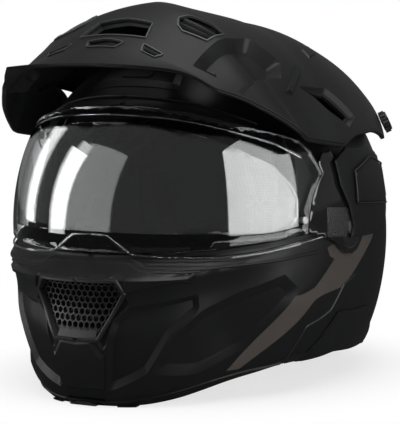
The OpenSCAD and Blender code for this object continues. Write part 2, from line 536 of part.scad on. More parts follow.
// Latch: a cross pin on each side of the shell that a hook on the chin bar takes hold of
latch_al = -44;
latch_r = 103;
latch_pin_r = 3;
latch_y = hinge_y - latch_r * cos(latch_al);
latch_z = hinge_z + latch_r * sin(latch_al);
hook_x = [shell_half_w - 45, shell_half_w - 38];
bracket_x = [shell_half_w - 37, shell_half_w - 33, shell_half_w - 26.5];
module side_plate(x0, x1) {
    translate([x0, 0, 0]) rotate([90, 0, 90]) linear_extrude(height = x1 - x0) children();
}
module latch_bracket() {
    arm = [[latch_y, latch_z + 6], [latch_y + 18, latch_z + 12], [latch_y + 26, latch_z + 6],
           [latch_y + 22, latch_z - 2], [latch_y, latch_z - 6]];
    color([0.5, 0.5, 0.52]) {
        side_plate(bracket_x[0], bracket_x[1]) {
            translate([latch_y, latch_z]) circle(r = latch_pin_r + 3, $fn = 48);
            polygon(arm);
        }
        side_plate(bracket_x[1], bracket_x[2]) intersection() {
            polygon(arm);
            translate([latch_y + 10, latch_z - 6]) square([16, 18]);
        }
        translate([hook_x[0] - 0.5, latch_y, latch_z]) rotate([0, 90, 0])
            cylinder(r = latch_pin_r, h = bracket_x[0] - hook_x[0] + 0.5, $fn = 48);
    }
}
module latch_bracket_left() { latch_bracket(); }
module latch_bracket_right() { mirror([1, 0, 0]) latch_bracket(); }
module latch_hook() {
    tip = 20;
    color([0.4, 0.4, 0.42])
    side_plate(hook_x[0], hook_x[1]) translate([latch_y, latch_z]) rotate(-latch_al) difference() {
        polygon([[-tip, -6], [-4, -7.5], [6, -7.5], [6, -4.2], [6, 7], [-8, 7.5], [-tip, 5]]);
        circle(r = latch_pin_r + 0.5, $fn = 48);
        translate([-latch_pin_r - 0.5, -20]) square([2 * latch_pin_r + 1, 20]);
    }
}
module latch_hook_left() { latch_hook(); }
module latch_hook_right() { mirror([1, 0, 0]) latch_hook(); }

// Chin bar: one moulding from ear to ear, with a hole for the vent
chin_in = chin_t_wall;
vent_al = [-8.7, -21.9];
function vent_half(al) =
    lookup(al, [[vent_al[1], vent_half_w - 17.5], [-12, vent_half_w + 0.5], [vent_al[0], vent_half_w - 4.5]]);
chin_mid_al = [-3.7, -5.6, -7, -8.7, -10.4, -12, -14.5, -17, -19.2, -21.9, -25.5, -29, -32.5, -35];
chin_top_r = chin_r - 24.5;
chin_top_edge = [[-3.65, chin_top_r - 0.7], [-3.55, chin_top_r - 3.4], [-3.4, chin_top_r - 8.5], [-3, chin_top_r - 28.5],
                 [-2.5, 95], [-2, 80], [-1, 65], [0.5, 52], [5, 41]];
chin_split = [[-57.6, 78, -70], [-66, 68, -77], [-74, 60, -84], [-85.8, 41.4, -100], [-110, 38, -116],
              [-135, 40, -135], [-156, 43, -154], [-168, 43, -170]];
chin_foot_phi = [7, 11, 16, 22, 28, 34, 41, 48, 55, 61];
chin_rows = let (s = chin_skin(0, 0), hub = ring_seat_r) concat(
    [for (al = [178:-15:28]) [al, t_at(s, al, 36), al, t_at(s, al, hub), -1]],
    [for (k = [len(chin_top_edge) - 1:-1:0]) let (e = chin_top_edge[k], h = mix(-8, 18, k / (len(chin_top_edge) - 1)))
        [e[0], t_at(s, e[0], e[1]), h, t_at(s, h, hub), -1]],
    [for (k = [0:len(chin_mid_al) - 1]) let (al = chin_mid_al[k], h = mix(-10, -42, k / (len(chin_mid_al) - 1)))
        [al, 0, h, t_at(s, h, hub), t_at_x(s, al, vent_half(al))]],
    [for (k = [0:len(chin_foot_phi) - 1])
        let (q = polar(level(s, chin_foot_phi[k], rim_z(chin_foot_phi[k]))), h = mix(-45, -61, k / (len(chin_foot_phi) - 1)))
        [q[0], t_at(s, q[0], q[1]), h, t_at(s, h, hub), -1]],
    [for (e = chin_split) [e[0], t_at(s, e[0], e[1]), e[2], t_at(s, e[2], hub), -1]]);
function first_row(rows, al) = [for (i = [0:len(rows) - 1]) if (rows[i][1] == 0 && rows[i][0] <= al) i][0];
vent_top_row = first_row(chin_rows, vent_al[0]);
vent_low_row = first_row(chin_rows, vent_al[1]);
module chin_bar() {
    color([0.11, 0.11, 0.12])
    fan(chin_rows, 7,
        function(i, u, al, t, side) on_skin(chin_skin(0, 0), al, t, side),
        function(i, u, al, t, side) on_skin(chin_skin(-chin_in, -chin_wall), al, t, side), true,
        function(i, k) k == 0 && i >= vent_top_row && i < vent_low_row);
}
// Foam liner of the chin bar, thick in the middle
module chin_liner() {
    n = 5;
    rows = [for (k = [0:n]) let (al = mix(-24, -33, k / n)) [al, 0, al, t_at_x(chin_skin(0, 0), al, 74), -1]];
    color([0.15, 0.15, 0.16])
    fan(rows, 7,
        function(i, u, al, t, side) on_skin(chin_skin(-chin_in - pad_fit, -chin_wall - pad_fit), al, t, side),
        function(i, u, al, t, side) on_skin(drum_skin(chin_r - mix(17, 23, u), shell_half_w + 5), al, t, side), false);
}
module chin_hinge_ring() {
    color([0.45, 0.45, 0.47]) turned(washer(pin_r + pin_fit, ring_seat_r - 2 * fit, ring_x[0], ring_x[1]));
}
module chin_hinge_ring_left() { chin_hinge_ring(); }
module chin_hinge_ring_right() { mirror([1, 0, 0]) chin_hinge_ring(); }

// Chin vent: bevelled six-sided frame, a honeycomb grille and a shutter that slides down behind it
vent_y = hinge_y - chin_r * cos(15) - 1.9;
vent_z = 69.5;
vent_lean = 4;
vent_gap = 2.2;
function vent_outline(d) =
    [[-vent_half_w + 5 + d * 0.7, 19.2 - d], [vent_half_w - 5 - d * 0.7, 19.2 - d], [vent_half_w - d, 9],
     [vent_half_w - 18 - d * 0.8, -20.5 + d], [-vent_half_w + 18 + d * 0.8, -20.5 + d], [-vent_half_w + d, 9]];
module on_vent(depth) {
    translate([0, vent_y, vent_z]) rotate([90 - vent_lean, 0, 0]) translate([0, 0, -depth]) children();
}
module chin_vent_frame() {
    color([0.06, 0.06, 0.07]) {
        on_vent(9) linear_extrude(height = 9) difference() {
            polygon(vent_outline(vent_gap));
            polygon(vent_outline(vent_gap + 3.2));
        }
        on_vent(0) linear_extrude(height = 1.6) difference() {
            polygon(vent_outline(0.8));
            polygon(vent_outline(vent_gap + 2));
        }
    }
}
cell_w = 5.2;
module chin_vent_grille() {
    color([0.05, 0.05, 0.05]) on_vent(7.5) linear_extrude(height = 2) difference() {
        polygon(vent_outline(vent_gap + 3.6));
        intersection() {
            polygon(vent_outline(vent_gap + 5));
            union() for (i = [-6:6], j = [-5:5])
                translate([(i + 0.5 * abs(j % 2)) * cell_w, j * cell_w * 0.86]) circle(r = cell_w * 0.46, $fn = 6);
        }
    }
}
shutter_travel = 5;
module chin_vent_shutter() {
    color([0.08, 0.08, 0.08]) on_vent(9.5) linear_extrude(height = 1.6) difference() {
        polygon([[-20, 8], [20, 8], [20, 2], [12, -9], [-12, -9], [-20, 2]]);
        for (x = [-12, 0, 12]) translate([x - 3, -4]) square([6, 8]);
    }
}

// Rubber edge of the chin bar, either side of the release button
function chin_foot_path(s) = [for (phi = [10:5:60]) level(s, phi, rim_z(phi))];
module chin_trim() {
    path = chin_foot_path(chin_skin(0, 0));
    up = chin_foot_path(chin_skin(1, 1));
    color([0.04, 0.04, 0.04]) both_sides()
    bead(path, [for (i = [0:len(path) - 1]) unit(up[i] - path[i])],
         [[0.6, 0.7], [0.6, -4], [1.5, -4], [2, -3], [2, 0], [1.4, 0.7]]);
}
// Chin curtain: soft sheet that closes the gap under the chin
module chin_curtain() {
    n = 12;
    reach = 34;
    grid = function(dz) [for (i = [0:n]) let (phi = mix(-reach, reach, i / n)) [for (j = [0:4])
        let (v = j / 4, e = 1 - pow(abs(phi) / reach, 2), d = pad_fit + 1.2 + 25 * v * (0.35 + 0.65 * e))
        level(chin_skin(-chin_in - d, -chin_wall - d),
              phi, rim_z(phi) + 6 + 7 * v + dz)]];
    color([0.05, 0.05, 0.05]) slab(grid(1.6), grid(0));
}
// Breath deflector: soft lip that leans in from the chin bar's top edge towards the nose
deflector_al = [-11, -6.4];
deflector_r = [chin_r - 34, chin_r - 21.6];
deflector_half_w = 34;
module breath_deflector() {
    n = 8;
    grid = function(da) [for (i = [0:n]) let (x = mix(-deflector_half_w, deflector_half_w, i / n)) [for (j = [0:3])
        let (al = mix(deflector_al[0], deflector_al[1], j / 3) + da, r = mix(deflector_r[0], deflector_r[1], j / 3),
             k = pow(1 - pow(abs(x) / (shell_half_w + 5), roundness), 1 / roundness))
        [x, hinge_y - r * k * cos(al), hinge_z + r * k * sin(al)]]];
    color([0.05, 0.05, 0.05]) slab(grid(0.25), grid(-0.25));
}
// Lower seal of the face shield, on the top edge of the chin bar
seal_rows = concat([[-3.7, 0]], [for (e = chin_top_edge) if (e[1] > 75) [e[0], t_at(chin_skin(0, 0), e[0], e[1])]]);
module shield_seal() {
    at = function(row, side, off) on_skin(chin_skin(off, off), row[0], row[1], side);
    n = len(seal_rows) - 1;
    path = function(off) concat([for (k = [n:-1:1]) at(seal_rows[k], 1, off)], [for (k = [0:n]) at(seal_rows[k], -1, off)]);
    low = path(-1.4);
    high = path(-0.4);
    color([0.05, 0.05, 0.05])
    bead(low, [for (i = [0:len(low) - 1]) unit(high[i] - low[i])],
         [[0.35, -1], [1, -1], [1.3, 0], [1, 0.8], [0.35, 0.8]]);
}
// Release button in the notch under the chin
button_travel = 1.5;
button_y = [hinge_y - 154, hinge_y - 144.4];
button_stem_y = hinge_y - 146.4;
module release_button() {
    color([0.09, 0.09, 0.1]) {
        translate([0, button_y[1], 0]) rotate([90, 0, 0]) linear_extrude(height = button_y[1] - button_y[0])
            polygon([[-10, 0.9], [10, 0.9], [12, 1.6], [5, 3.4], [-5, 3.4], [-12, 1.6]]);
        translate([-5, button_stem_y, 3]) cube([10, 2, 3.8]);
    }
}

// Face shield: clear moulding in the middle, with a dark arm on each side that reaches the hinge
shield_out = drum_skin(shield_r, shield_half_w);
shield_in = drum_skin(shield_r - shield_wall, shield_half_w - shield_wall);
shield_top = [[40.25, shield_r - 0.6], [40.35, shield_r - 3.1], [40.6, shield_r - 7.5], [41.4, shield_r - 17.5],
              [43, shield_r - 27.5], [46, 103], [50, 91], [55.5, 78], [57, 66]];
shield_low = [[-2.65, shield_r - 0.9], [-2.55, shield_r - 3.9], [-2.4, shield_r - 11.5], [-2, shield_r - 31.5],
              [-1.5, 95], [-1, 80], [0, 65]];
lens_end_r = 50;
function shield_row(e, hub_al, hub_r) = [e[0], t_at(shield_out, e[0], e[1]), hub_al, t_at(shield_out, hub_al, hub_r), -1];
shield_rows = concat(
    [for (k = [len(shield_top) - 1:-1:0]) shield_row(shield_top[k], mix(42, 54, k / 8), mix(lens_end_r, 57, k / 8))],
    [for (k = [0:9]) let (al = mix(40.2, -2.7, k / 9), h = mix(41, 5, k / 9)) [al, 0, h, t_at(shield_out, h, lens_end_r), -1]],
    [for (k = [0:len(shield_low) - 1]) shield_row(shield_low[k], mix(4, 1, k / 6), lens_end_r)]);
module face_shield() {
    color([0.75, 0.78, 0.8, 0.35])
    fan(shield_rows, 8,
        function(i, u, al, t, side) on_skin(shield_out, al, t, side),
        function(i, u, al, t, side) on_skin(shield_in, al, t, side), false);
}
shield_ring_r = 14;
arm_edge = [[58, 57.5, 60], [66, 60, 67], [74, 58, 74], [78, 46, 80], [81, 30, 86], [92, 20, 98], [115, 19, 118],
            [140, 19, 140], [165, 19, 165], [190, 19, 190], [215, 19, 215], [240, 19, 240], [265, 19, 265],
            [290, 19, 290], [315, 19.5, 312], [338, 22, 330], [352, 30, 342], [359, 44, 351], [361.5, 49.5, 358]];
module shield_arm() {
    hub = shield_ring_r + fit;
    lens_side = [for (al = [366:8:414]) [al, lens_end_r - 2 * fit, mix(363, 413, (al - 366) / 48)]];
    edge = concat(arm_edge, lens_side, [[416.5, 56, 416]]);
    grid = function(s) [for (e = edge) [for (j = [0:2])
        on_skin(s, mix(e[0], e[2], j / 2), mix(t_at(shield_out, e[0], e[1]), t_at(shield_out, e[2], hub), j / 2), 1)]];
    color([0.03, 0.03, 0.03]) slab(grid(shield_out), grid(shield_in), true);
}
module shield_arm_left() { shield_arm(); }
module shield_arm_right() { mirror([1, 0, 0]) shield_arm(); }
module shield_ring() {
    color([0.2, 0.2, 0.2])
    turned(washer(pin_r + pin_fit, shield_ring_r - fit / 2, arm_x[0] + 0.2, arm_x[1]));
}
module shield_ring_left() { shield_ring(); }
module shield_ring_right() { mirror([1, 0, 0]) shield_ring(); }

// Anti-fog insert and the two pins that hold it
module antifog_insert() {
    d = shield_wall + fit + 0.2;
    s = drum_skin(shield_r - d, shield_half_w - d);
    q = drum_skin(shield_r - d - insert_wall, shield_half_w - d - insert_wall);
    n = 7;
    reach = [[3, 74], [6, 62], [12, 58], [24, 60], [31, 68], [35, 84]];
    rows = [for (k = [0:n]) let (al = mix(3, 35, k / n)) [al, 0, al, t_at(s, al, smooth(reach, al)), -1]];
    color([0.7, 0.72, 0.7, 0.3])
    fan(rows, 6, function(i, u, al, t, side) on_skin(s, al, t, side),
        function(i, u, al, t, side) on_skin(q, al, t, side), false);
}
module antifog_pins() {
    for (side = [-1, 1]) {
        t = t_at(shield_in, 11, 54);
        p = on_skin(shield_in, 11, t, side);
        up = unit(on_skin(shield_out, 11, t, side) - p);
        color([0.8, 0.8, 0.82]) translate(p - 3 * up) rotate([0, acos(up[2]), atan2(up[1], up[0])])
            cylinder(r = 2.3, h = 2.4, $fn = 32);
    }
}

// Sun visor: dark inner lens, shown raised into the shell
sun_out = drum_skin(sun_r, sun_half_w);
sun_in = drum_skin(sun_r - sun_wall, sun_half_w - sun_wall);
sun_edge = [[88, 126, 99], [88, 123.8, 100], [88, 118, 101], [87, 104, 102], [86, 84, 104], [84, 60, 106], [84, 36, 110],
            [96, 18, 116], [120, 15, 130], [155, 15, 160], [190, 15, 190], [225, 15, 222], [260, 15, 254],
            [295, 15, 286], [330, 15, 316], [358, 15, 342], [395, 16, 368], [412, 24, 384],
            [419, 42, 396], [416, 60, 404], [413, 84, 410], [411, 104, 416], [409.5, 116, 421], [408.5, 122.5, 425],
            [408.1, 125.8, 428]];
module sun_visor() {
    hub = 8;
    rows = concat(
        [for (k = [0:8]) let (al = mix(48, 88, k / 8) + 360, h = mix(432, 458, k / 8))
            [al, 0, h, t_at(sun_out, h, hub), -1]],
        [for (e = sun_edge) let (al = e[0] + 360, h = e[2] + 360)
            [al, t_at(sun_out, al, e[1]), h, t_at(sun_out, h, hub), -1]]);
    color([0.05, 0.05, 0.06, 0.5])
    fan(rows, 6, function(i, u, al, t, side) on_skin(sun_out, al, t, side),
        function(i, u, al, t, side) on_skin(sun_in, al, t, side), true);
}
module sun_hub() {
    color([0.1, 0.1, 0.1])
    turned(washer(sun_pin_r + pin_fit, 8 - 2 * fit, sun_half_w - sun_wall, sun_half_w));
}
module sun_hub_left() { sun_hub(); }
module sun_hub_right() { mirror([1, 0, 0]) sun_hub(); }
// Slider on the left edge of the shell that lowers the sun visor
sun_lever_x = shell_half_w - 26;
sun_lever_y = hinge_y - 32;
sun_travel = 22;
module sun_lever() {
    color([0.08, 0.08, 0.08]) {
        translate([sun_lever_x, sun_lever_y, 26]) cube([6, 16, 10]);
        translate([sun_lever_x, sun_lever_y + 3, 18]) cube([4, 10, 8]);
    }
}

outer_shell();
shock_liner();
crown_pad();
cheek_pad_left();
cheek_pad_right();
neck_roll();
eyeport_gasket();
base_trim();
rest_pads_rear();
peak();
peak_screws();
brow_vent_frame();
brow_vent_slider();
rear_vent_cover();
intercom_cover_left();
intercom_cover_right();
pivot_shaft_left();
pivot_shaft_right();
pivot_cap_left();
pivot_cap_right();
strap_left();
strap_right();
strap_rivets();
buckle_body();
buckle_lever();
latch_bracket_left();
latch_bracket_right();
latch_hook_left();
latch_hook_right();
chin_bar();
chin_liner();
chin_hinge_ring_left();
chin_hinge_ring_right();
chin_vent_frame();
chin_vent_grille();
chin_vent_shutter();
chin_trim();
rest_pads_front();
chin_curtain();
breath_deflector();
shield_seal();
release_button();
face_shield();
shield_arm_left();
shield_arm_right();
shield_ring_left();
shield_ring_right();
antifog_insert();
antifog_pins();
sun_visor();
sun_hub_left();
sun_hub_right();
sun_lever();
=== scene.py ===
from math import atan2, cos, degrees, hypot, pi, radians, sin

import bpy
import numpy as np
from mathutils import Matrix, Vector
from mathutils.geometry import delaunay_2d_cdt


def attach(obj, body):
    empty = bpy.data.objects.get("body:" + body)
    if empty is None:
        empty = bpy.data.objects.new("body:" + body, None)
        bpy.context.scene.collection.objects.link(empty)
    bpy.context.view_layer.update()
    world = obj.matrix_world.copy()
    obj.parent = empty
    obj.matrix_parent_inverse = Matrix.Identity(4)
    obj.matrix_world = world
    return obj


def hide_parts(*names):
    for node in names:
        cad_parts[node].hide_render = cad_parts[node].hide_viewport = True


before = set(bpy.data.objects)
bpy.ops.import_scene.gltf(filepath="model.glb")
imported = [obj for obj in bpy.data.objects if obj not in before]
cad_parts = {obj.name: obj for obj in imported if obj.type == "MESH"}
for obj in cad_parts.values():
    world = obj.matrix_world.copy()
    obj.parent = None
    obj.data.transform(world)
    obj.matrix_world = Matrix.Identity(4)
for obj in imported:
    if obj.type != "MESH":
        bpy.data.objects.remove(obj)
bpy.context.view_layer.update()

# Studio: a pale table, a white surround and soft boxes, seen by a long lens from the wearer's front left.
# The lens looks slightly down and leans by a degree and a half.
CAMERA_AT = Vector((0.9481, -1.4519, 0.3149))
CAMERA_TURN = radians(33.18)
CAMERA_DOWN = radians(6.5)
CAMERA_LEAN = radians(-1.42)
PHOTO_SIZE = (400, 424)
LENS_PIXELS = 2380.0
SENSOR = 36.0

towards_camera = Vector((sin(CAMERA_TURN) * cos(CAMERA_DOWN), -cos(CAMERA_TURN) * cos(CAMERA_DOWN),
                         sin(CAMERA_DOWN)))
level_right = Vector((cos(CAMERA_TURN), sin(CAMERA_TURN), 0))
level_up = towards_camera.cross(level_right)
camera_right = level_right * cos(CAMERA_LEAN) + level_up * sin(CAMERA_LEAN)
camera_up = level_up * cos(CAMERA_LEAN) - level_right * sin(CAMERA_LEAN)
bpy.ops.object.camera_add()
camera = bpy.context.object
camera_axes = Matrix((camera_right, camera_up, towards_camera)).transposed().to_4x4()
camera.matrix_world = Matrix.Translation(CAMERA_AT) @ camera_axes
camera.data.sensor_fit = "VERTICAL"
camera.data.sensor_height = SENSOR
camera.data.lens = LENS_PIXELS / PHOTO_SIZE[1] * SENSOR
bpy.context.scene.camera = camera
bpy.context.scene.view_settings.view_transform = "Standard"


class Nodes:
    """Adds and joins the nodes of one material or world."""

    def __init__(self, owner):
        owner.use_nodes = True
        self.tree = owner.node_tree
        self.tree.nodes.clear()

    def add(self, kind, inputs=(), **settings):
        node = self.tree.nodes.new(kind)
        for name, value in settings.items():
            setattr(node, name, value)
        for socket, value in dict(inputs).items():
            self.put(node.inputs[socket], value)
        return node

    def put(self, socket, value):
        if isinstance(value, Field):
            value = value.socket
        if isinstance(value, bpy.types.NodeSocket):
            self.tree.links.new(value, socket)
        elif isinstance(value, (tuple, list)) and len(value) == 3 and socket.type == "RGBA":
            socket.default_value = (*value, 1)
        else:
            socket.default_value = value

    def field(self, node, output=0):
        return Field(self, node.outputs[output])

    def noise(self, place, scale, **inputs):
        """Soft clouds of a scale, as a number."""
        return self.field(self.add("ShaderNodeTexNoise", {"Vector": place, "Scale": scale, **inputs}))

    def tint(self, share, first, second):
        """Colour between two, by a number."""
        colour = self.add("ShaderNodeMix", data_type="RGBA")
        self.put(colour.inputs[0], share)
        self.put(colour.inputs[6], first)
        self.put(colour.inputs[7], second)
        return colour.outputs[2]

    def mixed(self, share, first, second):
        """One shader over another, by a number."""
        shader = self.add("ShaderNodeMixShader")
        for socket, value in zip(shader.inputs, (share, first, second)):
            self.put(socket, value)
        return shader.outputs[0]

    def glow(self, strength):
        return self.add("ShaderNodeEmission", {"Color": (1, 1, 1), "Strength": strength}).outputs[0]

    def skin(self, **inputs):
        """Principled surface. An input's name has underscores for its spaces."""
        named = {name.replace("_", " "): value for name, value in inputs.items()}
        return self.add("ShaderNodeBsdfPrincipled", named).outputs[0]

    def bump(self, height, strength, distance):
        """Normal of small heights, given in metres."""
        inputs = {"Height": height, "Strength": strength, "Distance": distance}
        return self.add("ShaderNodeBump", inputs).outputs[0]

    def end(self, shader, kind="ShaderNodeOutputMaterial"):
        self.put(self.add(kind).inputs["Surface"], shader)


class Field:
    """A number that varies over a surface, for use in sums."""

    def __init__(self, nodes, socket):
        self.nodes = nodes
        self.socket = socket

    def worked(self, operation, other):
        node = self.nodes.add("ShaderNodeMath", operation=operation)
        self.nodes.put(node.inputs[0], self)
        self.nodes.put(node.inputs[1], other)
        return Field(self.nodes, node.outputs[0])

    def __add__(self, other):
        return self.worked("ADD", other)

    def __mul__(self, other):
        return self.worked("MULTIPLY", other)

    def __sub__(self, other):
        return self.worked("SUBTRACT", other)

    def __rsub__(self, other):
        return (self * -1.0) + other

    def between(self, low, high):
        """0 below low, 1 above high, smooth in between."""
        node = self.nodes.add("ShaderNodeMapRange", interpolation_type="SMOOTHSTEP")
        self.nodes.put(node.inputs["Value"], self)
        self.nodes.put(node.inputs["From Min"], low)
        self.nodes.put(node.inputs["From Max"], high)
        return Field(self.nodes, node.outputs["Result"])

    def at_most_one(self):
        return self.worked("MINIMUM", 1.0)


def new_material(name):
    """A material's nodes, the material, and the place on the piece that its patterns follow."""
    material = bpy.data.materials.new(name)
    nodes = Nodes(material)
    return nodes, material, nodes.add("ShaderNodeTexCoord").outputs["Object"]


def ray_depths(nodes):
    """How often a ray has met a matt and a mirroring surface on its way from the lens."""
    ray = nodes.add("ShaderNodeLightPath")
    return nodes.field(ray, "Diffuse Depth"), nodes.field(ray, "Glossy Depth")


def unbounced(matt, mirrored):
    """1 for a ray that comes from the lens, straight or through clear parts only, and 0 for any other."""
    return 1.0 - (matt + mirrored).at_most_one()


# The table fades into the white surround away from the helmet, and keeps the shadow near it
TABLE_SIZE = 8
TABLE_GREYS = ((0.86, 0.86, 0.86), (0.90, 0.90, 0.90))
TABLE_SHADOW = (0.10, 0.21)
TABLE_KEEP = 0.72
# In mirrored rays the table is dark, as under a photographer's black flags
FLAG_GLOW = 0.04

bpy.ops.mesh.primitive_plane_add(size=TABLE_SIZE)
table = bpy.context.object
table.name = "table"
nodes, pale_table, place = new_material("pale table")
matt, mirrored = ray_depths(nodes)
far = nodes.add("ShaderNodeVectorMath", operation="LENGTH")
nodes.put(far.inputs[0], place)
fade = nodes.field(far, "Value").between(*TABLE_SHADOW)
table_tint = nodes.tint(nodes.noise(place, 3.0, Detail=3.0), *TABLE_GREYS)
table_skin = nodes.skin(Base_Color=table_tint, Roughness=0.7)
white_share = (fade * (1 - TABLE_KEEP) + TABLE_KEEP) * unbounced(matt, mirrored)
nodes.end(nodes.mixed(mirrored.at_most_one(), nodes.mixed(white_share, table_skin, nodes.glow(1.0)),
                      nodes.glow(FLAG_GLOW)))
table.data.materials.append(pale_table)

WORLD_LIGHT = 0.16
world = bpy.data.worlds.new("surround")
bpy.context.scene.world = world
nodes = Nodes(world)
level = unbounced(*ray_depths(nodes)) * (1 - WORLD_LIGHT) + WORLD_LIGHT
surround = nodes.add("ShaderNodeBackground", {"Color": (1, 1, 1), "Strength": level})
nodes.end(surround.outputs[0], "ShaderNodeOutputWorld")


def facing(at, way):
    """Placed at a point, with its front that way."""
    return Matrix.Translation(at) @ Vector(way).to_track_quat("Z", "Y").to_matrix().to_4x4()


# Soft boxes: name, place, what they are aimed at, width, height and watts
SOFT_BOXES = (("key light", (0.2, -0.5, 1.7), (0, 0, 0.14), 1.0, 0.7, 15.0),
              ("top light", (0.1, 0.3, 1.7), (0, 0, 0.2), 1.6, 1.2, 10.0),
              ("left light", (1.7, -0.1, 0.5), (0, 0, 0.14), 0.7, 1.2, 10.0),
              ("right light", (-1.2, -0.9, 0.45), (0, 0, 0.16), 0.35, 1.1, 7.0))
for name, at, aim, width, height, watts in SOFT_BOXES:
    lamp = bpy.data.lights.new(name, "AREA")
    lamp.shape = "RECTANGLE"
    lamp.size = width
    lamp.size_y = height
    lamp.energy = watts
    box = bpy.data.objects.new(name, lamp)
    bpy.context.collection.objects.link(box)
    box.matrix_world = facing(at, Vector(at) - Vector(aim))

# White cards that face the helmet, or lie flat, and that only mirrored rays see: name, place, way that they
# face, width, height and glow
CARDS = (("near card", (1.47, -0.12, 0.76), (1.47, -0.12, 0), 1.4, 1.5, 4.6),
         ("near floor card", (0.93, -0.08, 0.004), (0, 0, 1), 0.9, 0.9, 3.0),
         ("far card", (-0.95, -1.28, 0.72), (-0.95, -1.28, 0), 0.75, 1.3, 1.3),
         ("far strip", (-1.25, -1.0, 0.75), (-1.25, -1.0, 0), 0.25, 1.1, 3.2),
         ("side card", (-1.6, -0.15, 0.6), (-1.6, -0.15, 0), 0.35, 1.1, 3.2))
for name, at, way, width, height, glow in CARDS:
    bpy.ops.mesh.primitive_plane_add(size=1)
    card = bpy.context.object
    card.name = name
    card.matrix_world = facing(at, way) @ Matrix.Diagonal((width, height, 1, 1))
    nodes, material, place = new_material(name)
    matt, mirrored = ray_depths(nodes)
    glow_share = (mirrored.at_most_one() - matt.at_most_one()) * (nodes.noise(place, 1.5) * 0.2 + 0.8)
    clear_card = nodes.add("ShaderNodeBsdfTransparent").outputs[0]
    nodes.end(nodes.mixed(glow_share, clear_card, nodes.glow(glow)))
    card.data.materials.append(material)


# Outer shell: one moulding of fibre laminate under matte black lacquer, open at the face and at the foot.
# Like the chin bar and the visors it follows a rounded form about the hinge axis, which runs from ear to
# ear: a point lies at an angle round the axis, where 0 is straight ahead, and at a radius from it.
HINGE_Y = 0.0
HINGE_Z = 112.0
ROUNDNESS = 2.3
SHELL_HALF_W = 118.0
SHELL_RADII = [(-90, 163), (-60, 158), (-40, 150), (-20, 138), (-5, 132), (60, 132), (110, 132), (130, 138),
               (155, 150), (180, 160), (200, 167), (220, 171), (245, 168), (270, 163)]
SHELL_WALL = 3.5
CREASE = 34
RIM_HEIGHT = [(0, 3), (8, 3), (16, 5.5), (24, 9), (32, 13), (40, 16.5), (48, 19), (56, 20.5), (62, 21.5),
              (92, 23), (118, 20), (142, 12), (161, 4.5), (172, 3.4), (180, 3.4)]
EYE_EDGE = [(44.1, 131.5), (44.4, 129.3), (45, 125.2), (46, 118), (48, 107), (51, 94), (54.5, 80), (52, 68),
            (42, 60), (28, 57), (12, 58), (-4, 62), (-18, 68), (-30, 76), (-40, 88), (-47, 97)]
BROW_ANGLE = 44
# The lower rim's first and last direction, seen from above, and its number of points
SHELL_FOOT = (179, 62, 44)


def smooth(table, at):
    """Smooth curve through a table's rows, level at its ends."""
    x = np.array([row[0] for row in table], float)
    y = np.array([row[1] for row in table], float)
    step = np.diff(x)
    rise = np.diff(y) / step
    slope = np.zeros(len(x))
    for k in range(1, len(x) - 1):
        if rise[k - 1] * rise[k] > 0:
            slope[k] = 2 * rise[k - 1] * rise[k] / (rise[k - 1] + rise[k])
    at = np.clip(np.asarray(at, float), x[0], x[-1])
    i = np.clip(np.searchsorted(x, at, "right") - 1, 0, len(x) - 2)
    u = (at - x[i]) / step[i]
    return ((2 * u**3 - 3 * u**2 + 1) * y[i] + (u**3 - 2 * u**2 + u) * slope[i] * step[i]
            + (3 * u**2 - 2 * u**3) * y[i + 1] + (u**3 - u**2) * slope[i + 1] * step[i])


# A form is laid out flat as a disc about its hinge end, so that lengths along it stay nearly true. The
# disc's radii are lengths along this arc, from the hinge to the middle plane.
ARC_STEPS = 2400
ARC_HALF_W = 120
ARC_RADIUS = 145
arc_turn = np.radians(np.linspace(90, 0, ARC_STEPS))
arc_points = np.stack([ARC_HALF_W * np.sin(arc_turn) ** (2 / ROUNDNESS),
                       ARC_RADIUS * np.cos(arc_turn) ** (2 / ROUNDNESS)], -1)
ARC = np.concatenate([[0], np.cumsum(np.linalg.norm(np.diff(arc_points, axis=0), axis=1))])
ARC_TURN = np.degrees(arc_turn)
DISC_RIM = ARC[-1]
# What is drawn in is so in full beyond this distance from the hinge axis
DRAWN_IN_FROM = ((70, 0), (125, 1))


def wrapped(angle):
    """The same angle between -90 and 270."""
    return (np.asarray(angle, float) + 90) % 360 - 90


def columns(rows):
    """The first values of a table's rows, and the second ones."""
    return np.array(rows, float).T


def unit(rows):
    return rows / np.linalg.norm(rows, axis=1)[:, None]


